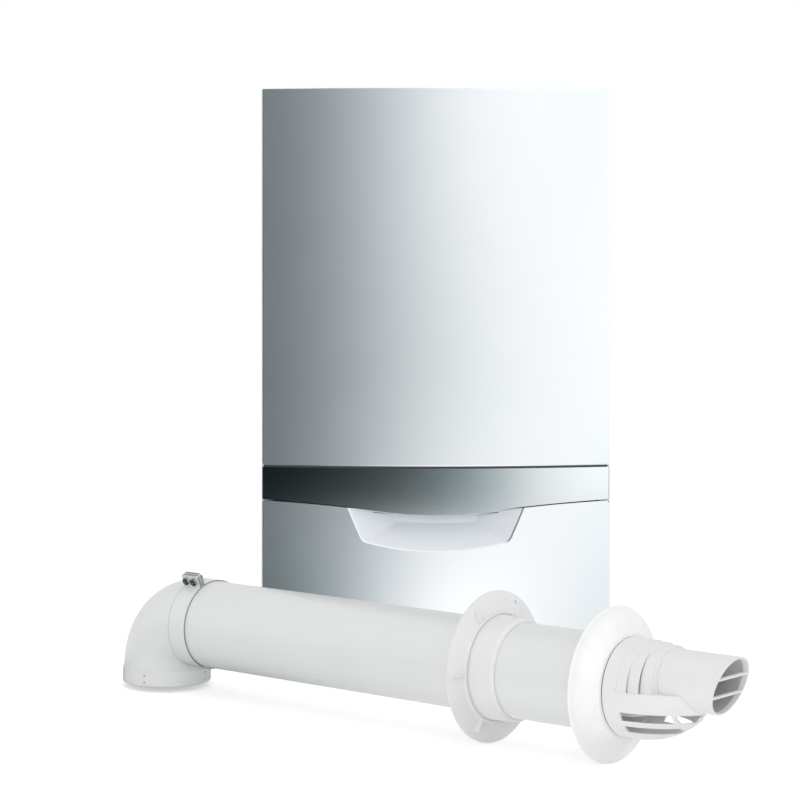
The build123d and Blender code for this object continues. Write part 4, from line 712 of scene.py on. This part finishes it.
def head_faces(node, out, row):
    """Middles of the flat faces that the screws of a node, in a row along a direction, turn to one side."""
    points = [vert.co for vert in frame["nodes"][node].data.vertices]
    reach = max(point.dot(out) for point in points)
    flat = [point for point in points if point.dot(out) > reach - FLAT_REACH]
    faces = sorted(flat, key=lambda point: point.dot(row))
    groups = [[faces[0]]]
    for before, point in zip(faces, faces[1:]):
        if (point - before).dot(row) > SCREW_GAP:
            groups.append([])
        groups[-1].append(point)
    middles = []
    for group in groups:
        low = Vector(min(point[i] for point in group) for i in range(3))
        high = Vector(max(point[i] for point in group) for i in range(3))
        middles.append((low + high) / 2)
    return middles


def add_cross_cap(shape, place, radius, height, slot):
    """Rounded top of a screw head with a cross recess through it."""
    rings = []
    for share, level in CAP_RINGS:
        spot = place @ Matrix.Translation((0, 0, height * level))
        made = bmesh.ops.create_circle(shape, radius=radius * share, segments=24, matrix=spot)
        rings.append(list({edge for vert in made["verts"] for edge in vert.link_edges}))
    for lower, upper in zip(rings, rings[1:]):
        bmesh.ops.bridge_loops(shape, edges=lower + upper)
    arm, half = radius * CROSS_REACH, slot / 2
    corner = ((arm, -half), (arm, half), (half, half))
    crosses = []
    for level in (0.0, height):
        verts = []
        for turn in range(4):
            spot = place @ Matrix.Translation((0, 0, level)) @ Matrix.Rotation(turn * math.pi / 2, 4, "Z")
            verts += [shape.verts.new(spot @ Vector((x, y, 0))) for x, y in corner]
        crosses.append(loop_edges(shape, verts))
    bmesh.ops.bridge_loops(shape, edges=crosses[0] + crosses[1])
    bmesh.ops.triangle_fill(shape, edges=rings[-1] + crosses[1], use_beauty=True)
    bmesh.ops.triangle_fill(shape, edges=rings[0] + crosses[0], use_beauty=True)


def add_rivets(shape, centre, radius, rise):
    """Ring of low round rivet heads round the elbow's upright collar, sunk a little into its wall."""
    side = Vector((0, 0, 1)).orthogonal().normalized()
    for index in range(RIVETS_ROUND):
        out = Matrix.Rotation(math.radians(RIVET_START + 360 * index / RIVETS_ROUND), 3, "Z") @ side
        spot = facing(centre + out * (COLLAR_RADIUS - RIVET_SINK * rise), out)
        place = spot @ Matrix.Diagonal((radius, radius, rise, 1))
        made = bmesh.ops.create_uvsphere(shape, u_segments=16, v_segments=8, radius=1.0, matrix=place)
        back = [vert for vert in made["verts"] if (place.inverted() @ vert.co).z < RIVET_CUT]
        bmesh.ops.delete(shape, geom=back, context="VERTS")
        rims = [edge for edge in shape.edges if edge.is_boundary]
        bmesh.ops.edgeloop_fill(shape, edges=rims)


# Ticks and digits

SCALE_START = 225
LONG_TICK = 5
SHORT_TICK = 0.6
DIGIT_WIDTH = 0.5
STROKE_GAP = 1.2
SEGMENTS = {"0": "abcdef", "1": "bc", "2": "abged", "3": "abgcd", "4": "fgbc", "5": "acdfg"}


def add_digit(shape, place, digit, height, thick, rise, at):
    """Number of straight strokes, standing upright in a drawing."""
    across, half = height * DIGIT_WIDTH, height / 2
    strokes = {"a": (0, half, 0), "g": (0, 0, 0), "d": (0, -half, 0), "f": (-across / 2, half / 2, 90),
               "b": (across / 2, half / 2, 90), "e": (-across / 2, -half / 2, 90),
               "c": (across / 2, -half / 2, 90)}
    for name in SEGMENTS[digit]:
        x, y, angle = strokes[name]
        long = (half if angle else across) - thick * STROKE_GAP
        add_bar(shape, place, (long, thick), rise, (at[0] + x, at[1] + y), math.radians(angle))


def add_ticks(shape, place, count, step, reach, size, rise, outward):
    """Scale of ticks clockwise from the lower left, every fifth one long, from a radius or up to it."""
    for index in range(count):
        angle = math.radians(SCALE_START - step * index)
        long = size[0] * (1.0 if index % LONG_TICK == 0 else SHORT_TICK)
        away = reach + (size[0] if outward else -long) / 2
        add_bar(shape, place, (long, size[1]), rise, (away * math.cos(angle), away * math.sin(angle)), angle)


# Operators

class BOILER_OT_casing(bpy.types.Operator):
    """Finish the casing: enamelled sheets, dark band, moulded flap and rim"""
    bl_idname = "boiler.casing"
    bl_label = "Casing"

    def execute(self, context):
        make_finishes(context.scene)
        dress(*CASING_FINISHES)
        return {"FINISHED"}


class BOILER_OT_front_strips(bpy.types.Operator):
    """Strips that close the joints of the front: a dark gasket, whose grey is painted shadow of the gap under the
    front panel, the rib under the band and end trims of the flap
    """
    bl_idname = "boiler.front_strips"
    bl_label = "Front strips"

    def execute(self, context):
        panel_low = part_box("front_panel")[0].z
        shape = bmesh.new()
        # Dark gasket strip in the groove under the front panel, standing in for the shadow of the gap above the
        # band
        bow_strip(shape, -STRIP_END, STRIP_END, panel_low - BAND_GROOVE, panel_low, 0.0, SHADOW_GASKET_FRONT,
                  STRIP_BACK, 48)
        keep_piece(shape, "front_gasket", "grey gasket rubber", "boiler")
        line = front_line("trim_band", *BAND_EDGE)
        shape = bmesh.new()
        bmesh.ops.create_grid(shape, x_segments=24, y_segments=1, size=1.0)
        for vert in shape.verts:
            x = vert.co.x * RIB_HALF
            drop = RIB_DROP if vert.co.y < 0 else 0.0
            vert.co = (x, LIP_BACK_Y + RIB_SETBACK, level_at(line, x) - drop)
        bmesh.ops.recalc_face_normals(shape, faces=shape.faces)
        bmesh.ops.solidify(shape, geom=list(shape.faces), thickness=RIB_WALL)
        keep_piece(shape, "band_rib", "white lacquered moulding", "boiler")
        line = front_line("front_flap", *FLAP_EDGE)
        step_x = math.sqrt(BOW_RADIUS ** 2 - (BOW_CENTRE[1] - LIP_BACK_Y) ** 2)
        low, high = level_at(line, step_x + LIP_INSET), level_at(line, STRIP_END)
        for side, name in ((-1, "left"), (1, "right")):
            shape = bmesh.new()
            bow_strip(shape, side * step_x, side * STRIP_END, low - TRIM_SINK, low + LIP_DROP - TRIM_GAP,
                      high - low, TRIM_SETBACK, STRIP_BACK, 12)
            keep_piece(shape, "flap_end_trim_" + name, "white lacquered moulding", "flap")
        return {"FINISHED"}


class BOILER_OT_inside(bpy.types.Operator):
    """Finish the pieces inside the casing"""
    bl_idname = "boiler.inside"
    bl_label = "Inside"

    def execute(self, context):
        dress(*INSIDE_FINISHES)
        return {"FINISHED"}


class BOILER_OT_flue(bpy.types.Operator):
    """Finish the flue kit, which the glossy front doesn't mirror"""
    bl_idname = "boiler.flue"
    bl_label = "Flue kit"

    def execute(self, context):
        dress(*FLUE_FINISHES)
        for name in KIT_NODES:
            frame["nodes"][name].visible_glossy = False
        return {"FINISHED"}


class BOILER_OT_fasteners(bpy.types.Operator):
    """Cross recesses on the screws of the casing and the clamp, and the rivets of the elbow"""
    bl_idname = "boiler.fasteners"
    bl_label = "Screw heads and rivets"

    def execute(self, context):
        shape = bmesh.new()
        for out in (Vector((1, 0, 0)), Vector((-1, 0, 0))):
            for middle in head_faces("casing_screws", out, Vector((0, 0, 1))):
                add_cross_cap(shape, facing(middle, out), *CASING_SCREW)
        keep_piece(shape, "casing_screw_tops", "zinc screws", "boiler")
        across = clamp_points()[1].cross(KIT_ALONG)
        out = across if across.y < 0 else -across
        shape = bmesh.new()
        for middle in head_faces("clamp_screws", out, KIT_ALONG):
            add_cross_cap(shape, facing(middle, out), *CLAMP_SCREW)
        keep_piece(shape, "clamp_screw_tops", "zinc screws", "boiler")
        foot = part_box("flue_elbow")[0].z
        shape = bmesh.new()
        for level in RIVET_LEVELS:
            centre = Vector((*KIT_ELBOW.xy, foot + level))
            add_rivets(shape, centre, context.scene.flue_finish.rivet_radius, RIVET_RISE)
        keep_piece(shape, "collar_rivets", "grey polypropylene", "boiler")
        return {"FINISHED"}


class BOILER_OT_seals(bpy.types.Operator):
    """Lip seals in the flue socket and in the mouth of the elbow"""
    bl_idname = "boiler.seals"
    bl_label = "Lip seals"

    def execute(self, context):
        lip = context.scene.flue_finish.seal_height
        for name, (mount, lift) in SEALS.items():
            centre = Vector(MOUNTS[mount]["pos_m"]) + Vector((0, 0, lift))
            bore = MOUNTS[mount]["dims"]["r_mm"] * MM
            wall, tip = bore + SEAL_SINK, bore - lip
            outline = [(radius, level) for radius, level in zip((wall, tip, tip, wall), SEAL_LEVELS)]
            shape = bmesh.new()
            turned_ring(shape, centre, (0, 0, 1), outline)
            keep_piece(shape, name, "black seal rubber", "boiler")
        return {"FINISHED"}


# Scales and signs, whose bars have a length, a width, a place across and up in millimetres, and a turn

DIAL_TICKS = 11
DIAL_STEP = 27
DIAL_INNER = 24.5 * MM
TICK_WIDTH = 0.5 * MM
DIAL_SIGNS = {
    "hot_water": ((6.0, 1.6, -0.6, 33.5, 0), (1.6, 3.4, 2.2, 31.8, 0), (1.0, 2.2, -0.8, 35.2, 0),
                  (4.4, 0.9, -0.8, 36.6, 0)),
    "heating": ((0.9, 5.2, -2.4, 32.5, 0), (0.9, 5.2, -0.8, 32.5, 0), (0.9, 5.2, 0.8, 32.5, 0),
                (0.9, 5.2, 2.4, 32.5, 0), (7.2, 0.5, 0, 30.9, 0), (7.2, 0.5, 0, 34.1, 0)),
}
TAP_DROP = (0.7 * MM, (2.2 * MM, 28.8 * MM), 10)
POINTER = ((1.2, 12.5, 0, 9.8, 0),)
KEY_SIGNS = {
    "left": ((3.6, 0.9, -0.2, -1.1, -42), (3.6, 0.9, -0.2, 1.1, 42)),
    "minus": ((4.8, 1.0, 0, 0, 0),),
    "plus": ((4.8, 1.0, 0, 0, 0), (1.0, 4.8, 0, 0, 0)),
    "right": ((3.6, 0.9, 0.2, -1.1, 42), (3.6, 0.9, 0.2, 1.1, -42)),
    "power": ((0.7, 3.0, 0, 2.2, 0),),
    "reset": (),
}
KEY_RINGS = {"power": (2.8 * MM, 125, 290), "reset": (2.6 * MM, 60, 280)}
RING_WIDTH = 0.7 * MM
RESET_ARROW = (1.1 * MM, (1.3 * MM, 2.4 * MM), 3)


class BOILER_OT_dials(bpy.types.Operator):
    """Printed scales round the two setting knobs, with a tap and a radiator, and the knobs' pointers"""
    bl_idname = "boiler.dials"
    bl_label = "Dial scales"

    def execute(self, context):
        ink = context.scene.control_finish
        dress("fascia moulding", "key moulding")
        for name, sign in DIAL_SIGNS.items():
            centre = Vector(JOINTS[name + "_turn"]["pos_m"])
            centre.y = FASCIA_Y
            place = facing(centre)
            shape = bmesh.new()
            add_ticks(shape, place, DIAL_TICKS, DIAL_STEP, DIAL_INNER, (ink.tick_length, TICK_WIDTH),
                      ink.print_height, True)
            add_sign(shape, place, sign, ink.print_height)
            if name == "hot_water":
                radius, at, sides = TAP_DROP
                add_disc(shape, place, radius, ink.print_height, at, sides)
            keep_piece(shape, name + "_scale", "white print", "boiler", False)
        for name in DIAL_SIGNS:
            centre = Vector(JOINTS[name + "_turn"]["pos_m"])
            centre.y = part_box(name + "_knob")[0].y
            shape = bmesh.new()
            add_sign(shape, facing(centre), POINTER, ink.print_height)
            keep_piece(shape, name + "_knob_pointer", "dark print", name + "_dial", False)
        return {"FINISHED"}


class BOILER_OT_key_marks(bpy.types.Operator):
    """Printed signs on the keys"""
    bl_idname = "boiler.key_marks"
    bl_label = "Key signs"

    def execute(self, context):
        height = context.scene.control_finish.print_height
        for key, sign in KEY_SIGNS.items():
            low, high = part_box(key + "_key")
            place = facing(Vector(((low.x + high.x) / 2, low.y, (low.z + high.z) / 2)))
            shape = bmesh.new()
            if key in KEY_RINGS:
                radius, start, sweep = KEY_RINGS[key]
                add_arc(shape, place, radius, RING_WIDTH, height, start, sweep, 24)
            add_sign(shape, place, sign, height)
            if key == "reset":
                radius, at, sides = RESET_ARROW
                add_disc(shape, place, radius, height, at, sides)
            keep_piece(shape, key + "_sign", "dark print", key + "_button", False)
        return {"FINISHED"}


# Display and pressure gauge

DISPLAY_MARGIN = 10 * MM
DISPLAY_DEPTH = 1.6 * MM
DISPLAY_THICK = 1.0 * MM
SEGMENT_RISE = 0.1 * MM
TEMPERATURE = "50"
DISPLAY_DIGIT = (15 * MM, 1.3 * MM)
DIGIT_START = -10 * MM
DIGIT_STEP = 12.5 * MM
DEGREE_RING = (1.1 * MM, 0.5 * MM)
DEGREE_PLACE = Vector((9.5, -1.0, 7.0)) * MM
SIGNAL_BARS = tuple((1.8, 2.2 + 1.4 * i, 24 + 3.0 * i, -6 + 0.7 * i, 0) for i in range(4))
CARD_RADIUS = 16.8 * MM
CARD_DEPTH = 5.0 * MM
CARD_THICK = 0.2 * MM
GAUGE_INK = 0.06 * MM
GAUGE_TICKS = 21
GAUGE_STEP = 13.5
GAUGE_TICK = (3.0 * MM, 0.35 * MM)
TICK_RIM = 15.0 * MM
GAUGE_NUMBERS = "01234"
GAUGE_DIGIT = (3.4 * MM, 0.32 * MM)
NUMBER_RADIUS = 9.4 * MM
ZONE_RADIUS = 15.8 * MM
ZONE_WIDTH = 1.0 * MM
ZONE_RISE = 0.05 * MM
ZONE_TICKS = 5
ZONE_ENDS = {"green": 10, "red": 20}
COVER_DEPTH = 1.0 * MM
COVER_RADIUS = 16.9 * MM
COVER_THICK = 0.7 * MM


class BOILER_OT_display(bpy.types.Operator):
    """Display behind its window, with a temperature and signal bars in lit segments"""
    bl_idname = "boiler.display"
    bl_label = "Display"

    def execute(self, context):
        dress("display window")
        low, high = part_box("display_lens")
        centre = Vector(((low.x + high.x) / 2, high.y + DISPLAY_DEPTH, (low.z + high.z) / 2))
        size = (high.x - low.x - DISPLAY_MARGIN, high.z - low.z - DISPLAY_MARGIN)
        shape = bmesh.new()
        add_bar(shape, facing(centre), size, DISPLAY_THICK)
        keep_piece(shape, "display_module", "display ground", "boiler", False)
        shape = bmesh.new()
        face = facing(centre - Vector((0, DISPLAY_THICK, 0)))
        for index, digit in enumerate(TEMPERATURE):
            at = (DIGIT_START + DIGIT_STEP * index, 0)
            add_digit(shape, face, digit, *DISPLAY_DIGIT, SEGMENT_RISE, at)
        add_arc(shape, facing(centre + DEGREE_PLACE), *DEGREE_RING, SEGMENT_RISE, 0, 360, 16)
        add_sign(shape, face, SIGNAL_BARS, SEGMENT_RISE)
        keep_piece(shape, "display_segments", "lit segments", "boiler", False)
        return {"FINISHED"}


class BOILER_OT_gauge(bpy.types.Operator):
    """Dial card with its scale, and the clear cover of the pressure gauge"""
    bl_idname = "boiler.gauge"
    bl_label = "Pressure gauge"

    def execute(self, context):
        dress("gauge moulding", "red needle")
        centre = Vector(JOINTS["needle_turn"]["pos_m"])
        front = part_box("pressure_gauge")[0].y
        floor = front + CARD_DEPTH
        shape = bmesh.new()
        add_disc(shape, facing(Vector((centre.x, floor, centre.z))), CARD_RADIUS, CARD_THICK)
        keep_piece(shape, "gauge_card", "dial card", "boiler", False)
        above = facing(Vector((centre.x, floor - CARD_THICK, centre.z)))
        shape = bmesh.new()
        add_ticks(shape, above, GAUGE_TICKS, GAUGE_STEP, TICK_RIM, GAUGE_TICK, GAUGE_INK, False)
        for index, digit in enumerate(GAUGE_NUMBERS):
            angle = math.radians(SCALE_START - LONG_TICK * GAUGE_STEP * index)
            spot = (NUMBER_RADIUS * math.cos(angle), NUMBER_RADIUS * math.sin(angle))
            add_digit(shape, above, digit, *GAUGE_DIGIT, GAUGE_INK, spot)
        keep_piece(shape, "gauge_scale", "dark print", "boiler", False)
        for name, end in ZONE_ENDS.items():
            shape = bmesh.new()
            add_arc(shape, above, ZONE_RADIUS, ZONE_WIDTH, ZONE_RISE, SCALE_START - GAUGE_STEP * end,
                    GAUGE_STEP * ZONE_TICKS, 16)
            keep_piece(shape, "gauge_" + name + "_zone", name + " print", "boiler", False)
        shape = bmesh.new()
        cover = facing(Vector((centre.x, front + COVER_DEPTH, centre.z)))
        add_disc(shape, cover, COVER_RADIUS, COVER_THICK)
        keep_piece(shape, "gauge_cover", "clear polycarbonate", "boiler")
        return {"FINISHED"}


# Studio: places and sizes in metres, and the levels of the screen from left to right

FLOOR_HALF = 14.0
FLOOR_DROP = 0.2 * MM
FLOOR_WHITE = (0.92, 0.92, 0.92, 1)
WHITE = (1, 1, 1, 1)
FLOOR_GLOW = 0.42
LAMPS = {
    "key_softbox": ((2.6, -1.6, 1.7), (0.0, -0.3, 0.35), 2.0, "key_light", True),
    "top_softbox": ((0.1, -0.9, 2.9), (0.0, -0.4, 0.0), 2.4, "top_light", True),
    "front_softbox": ((-0.9, -4.8, 0.7), (0.0, -0.5, 0.1), 2.5, "front_light", False),
}
SCREEN_NEAR = -0.345
SCREEN_FAR = -4.0
SCREEN_HALF = 14.0
SCREEN_TALL = 8.0
SCREEN_LIFT = 1 * MM
SCREEN_TOP = 1.8
SCREEN_PLACES = (0.0, 0.15, 0.30, 0.42, 0.54, 0.66, 0.78, 1.0)
LOW_LEVELS = (0.008, 0.008, 0.014, 0.034, 0.185, 0.56, 1.15, 1.60)
HIGH_LEVELS = (0.045, 0.155, 0.56, 1.13, 1.44, 1.34, 1.04, 0.80)
DIM_TINT = (0.62, 1.0, 1.08)
FAN_ORIGIN = 0.06
FAN_SPREAD = 0.60
LEAN_SPAN = (0.35, 1.1)
LEAN_TOP = 0.125
RISE_SPAN = (0.06, 0.35)
CLOSE_SPAN = (-1.85, -1.45)


def seen_plainly(tree):
    """1 for what the camera sees, straight, in a mirror or through glass, and 0 for light on the object."""
    path = add_node(tree, "LightPath")
    seen = path.outputs["Is Camera Ray"]
    for ray in ("Is Glossy Ray", "Is Transmission Ray"):
        seen = add_node(tree, "Math", {0: seen, 1: path.outputs[ray]}, operation="MAXIMUM").outputs[0]
    return seen


def floor_paper():
    """Pale seamless paper that reads white to the camera and keeps the object's shadow."""
    made = bpy.data.materials.new("seamless paper")
    tree = open_tree(made)
    paper = add_node(tree, "BsdfDiffuse", {"Color": FLOOR_WHITE})
    level = add_node(tree, "Math", {0: seen_plainly(tree), 1: FLOOR_GLOW}, operation="MULTIPLY")
    glow = add_node(tree, "Emission", {"Color": WHITE, "Strength": level.outputs[0]})
    both = add_node(tree, "AddShader", {0: paper.outputs[0], 1: glow.outputs[0]})
    add_node(tree, "OutputMaterial", {"Surface": both.outputs[0]})
    return made


def level_stops(levels):
    """Stops of a ramp across the screen from its levels, a little blue where they are dark."""
    stops = []
    for position, level in zip(SCREEN_PLACES, levels):
        share, dim = level / SCREEN_TOP, min(level, 1)
        stops.append((position, [share * (tone + (1 - tone) * dim) for tone in DIM_TINT]))
    return stops


def graded_glow():
    """Fan of light, dark at the left and bright at the right, and lower where the band mirrors it."""
    made = bpy.data.materials.new("graded screen")
    tree = open_tree(made)
    place = add_node(tree, "TexCoord")
    split = add_node(tree, "SeparateXYZ", {"Vector": place.outputs["Object"]})
    x, y, z = (split.outputs[axis] for axis in "XYZ")
    depth = add_node(tree, "Math", {0: FAN_ORIGIN, 1: y}, operation="SUBTRACT")
    slope = add_node(tree, "Math", {0: x, 1: depth.outputs[0]}, operation="DIVIDE")
    lean = add_node(tree, "MapRange", {"From Min": LEAN_SPAN[0], "From Max": LEAN_SPAN[1],
                                       "To Max": LEAN_TOP, "Value": z})
    leant = add_node(tree, "Math", {0: slope.outputs[0], 1: lean.outputs["Result"]}, operation="SUBTRACT")
    across = add_node(tree, "MapRange", {"From Min": -FAN_SPREAD, "From Max": FAN_SPREAD,
                                         "Value": leant.outputs[0]})
    shades = []
    for levels in (LOW_LEVELS, HIGH_LEVELS):
        ramp = add_node(tree, "ValToRGB", {"Fac": across.outputs["Result"]}, level_stops(levels))
        ramp.color_ramp.interpolation = "B_SPLINE"
        shades.append(ramp.outputs["Color"])
    rise = add_node(tree, "MapRange", {"From Min": RISE_SPAN[0], "From Max": RISE_SPAN[1], "Value": z})
    close = add_node(tree, "MapRange", {"From Min": CLOSE_SPAN[0], "From Max": CLOSE_SPAN[1], "Value": y})
    off_band = add_node(tree, "Math", {0: rise.outputs["Result"], 1: close.outputs["Result"]},
                        operation="MAXIMUM")
    both = add_node(tree, "Mix", {"Factor": off_band.outputs[0], MIX_A: shades[0], MIX_B: shades[1]},
                    data_type="RGBA")
    glow = add_node(tree, "Emission", {"Strength": SCREEN_TOP, "Color": both.outputs[MIXED]})
    add_node(tree, "OutputMaterial", {"Surface": glow.outputs[0]})
    return made


def add_screen():
    """Graded card on the floor and screen behind the camera, which only glossy surfaces show."""
    shape = bmesh.new()
    corners = ((-SCREEN_HALF, SCREEN_NEAR, SCREEN_LIFT), (SCREEN_HALF, SCREEN_NEAR, SCREEN_LIFT),
               (SCREEN_HALF, SCREEN_FAR, SCREEN_LIFT), (-SCREEN_HALF, SCREEN_FAR, SCREEN_LIFT),
               (SCREEN_HALF, SCREEN_FAR, SCREEN_TALL), (-SCREEN_HALF, SCREEN_FAR, SCREEN_TALL))
    verts = [shape.verts.new(corner) for corner in corners]
    for face in ((0, 1, 2, 3), (3, 2, 4, 5)):
        shape.faces.new([verts[index] for index in face])
    screen = to_object(shape, "studio_screen")
    screen.data.materials.append(graded_glow())
    screen.visible_camera = False
    screen.visible_shadow = False
    screen.visible_diffuse = False
    screen.visible_transmission = False


class BOILER_OT_stage(bpy.types.Operator):
    """Pale floor, soft lights and the camera"""
    bl_idname = "boiler.stage"
    bl_label = "Studio"

    def execute(self, context):
        studio = context.scene.studio_set
        shape = bmesh.new()
        bmesh.ops.create_grid(shape, x_segments=1, y_segments=1, size=FLOOR_HALF)
        bmesh.ops.translate(shape, verts=shape.verts, vec=(0, 0, -FLOOR_DROP))
        floor = to_object(shape, "studio_floor")
        floor.data.materials.append(floor_paper())
        world = bpy.data.worlds.new("studio_sky")
        context.scene.world = world
        tree = open_tree(world)
        level = add_node(tree, "MapRange", {"To Min": studio.sky, "To Max": 1.0,
                                            "Value": seen_plainly(tree)})
        sky = add_node(tree, "Background", {"Color": WHITE, "Strength": level.outputs["Result"]})
        add_node(tree, "OutputWorld", {"Surface": sky.outputs["Background"]})
        for name, (place, target, size, power, mirrored) in LAMPS.items():
            lamp = bpy.data.lights.new(name, "AREA")
            lamp.size = size
            lamp.energy = getattr(studio, power)
            lit = bpy.data.objects.new(name, lamp)
            lit.location = place
            lit.rotation_euler = (Vector(target) - Vector(place)).to_track_quat("-Z", "Y").to_euler()
            lit.visible_glossy = mirrored
            context.scene.collection.objects.link(lit)
        add_screen()
        camera = bpy.data.cameras.new("photo_camera")
        camera.lens = studio.lens
        camera.sensor_width = 36.0
        camera.sensor_fit = "HORIZONTAL"
        camera.shift_y = studio.drop
        camera.clip_end = 100
        eye = bpy.data.objects.new("photo_camera", camera)
        eye.location = studio.eye
        eye.rotation_euler = (math.radians(90), 0, 0)
        context.scene.collection.objects.link(eye)
        context.scene.camera = eye
        context.scene.view_settings.view_transform = "Standard"
        return {"FINISHED"}


class BOILER_PT_panel(bpy.types.Panel):
    """Sizes and colours of the boiler, and the buttons that make its pieces"""
    bl_idname = "BOILER_PT_panel"
    bl_label = "Boiler"
    bl_space_type = "VIEW_3D"
    bl_region_type = "UI"
    bl_category = "Boiler"

    def draw(self, context):
        scene = context.scene
        for group in (scene.casing_finish, scene.flue_finish, scene.control_finish, scene.studio_set):
            box = self.layout.box()
            for name in group.__annotations__:
                box.prop(group, name)
        for operator in OPERATORS:
            self.layout.operator(operator.bl_idname)


GROUPS = {"casing_finish": CasingFinish, "flue_finish": FlueFinish, "control_finish": ControlFinish,
          "studio_set": StudioSet}
OPERATORS = (BOILER_OT_casing, BOILER_OT_front_strips, BOILER_OT_inside, BOILER_OT_flue, BOILER_OT_fasteners,
             BOILER_OT_seals, BOILER_OT_dials, BOILER_OT_key_marks, BOILER_OT_display, BOILER_OT_gauge,
             BOILER_OT_stage)
CLASSES = (*GROUPS.values(), *OPERATORS, BOILER_PT_panel)


def register():
    """Register the classes and hang the settings on the scene."""
    for cls in CLASSES:
        bpy.utils.register_class(cls)
    for name, group in GROUPS.items():
        setattr(bpy.types.Scene, name, bpy.props.PointerProperty(type=group))


def unregister():
    """Take the settings and classes away again."""
    for name in GROUPS:
        delattr(bpy.types.Scene, name)
    for cls in reversed(CLASSES):
        bpy.utils.unregister_class(cls)


def main():
    """Make the whole scene."""
    register()
    bpy.ops.boiler.casing()
    bpy.ops.boiler.front_strips()
    bpy.ops.boiler.inside()
    bpy.ops.boiler.flue()
    bpy.ops.boiler.fasteners()
    bpy.ops.boiler.seals()
    bpy.ops.boiler.dials()
    bpy.ops.boiler.key_marks()
    bpy.ops.boiler.display()
    bpy.ops.boiler.gauge()
    bpy.ops.boiler.stage()


if __name__ == "__main__":
    main()
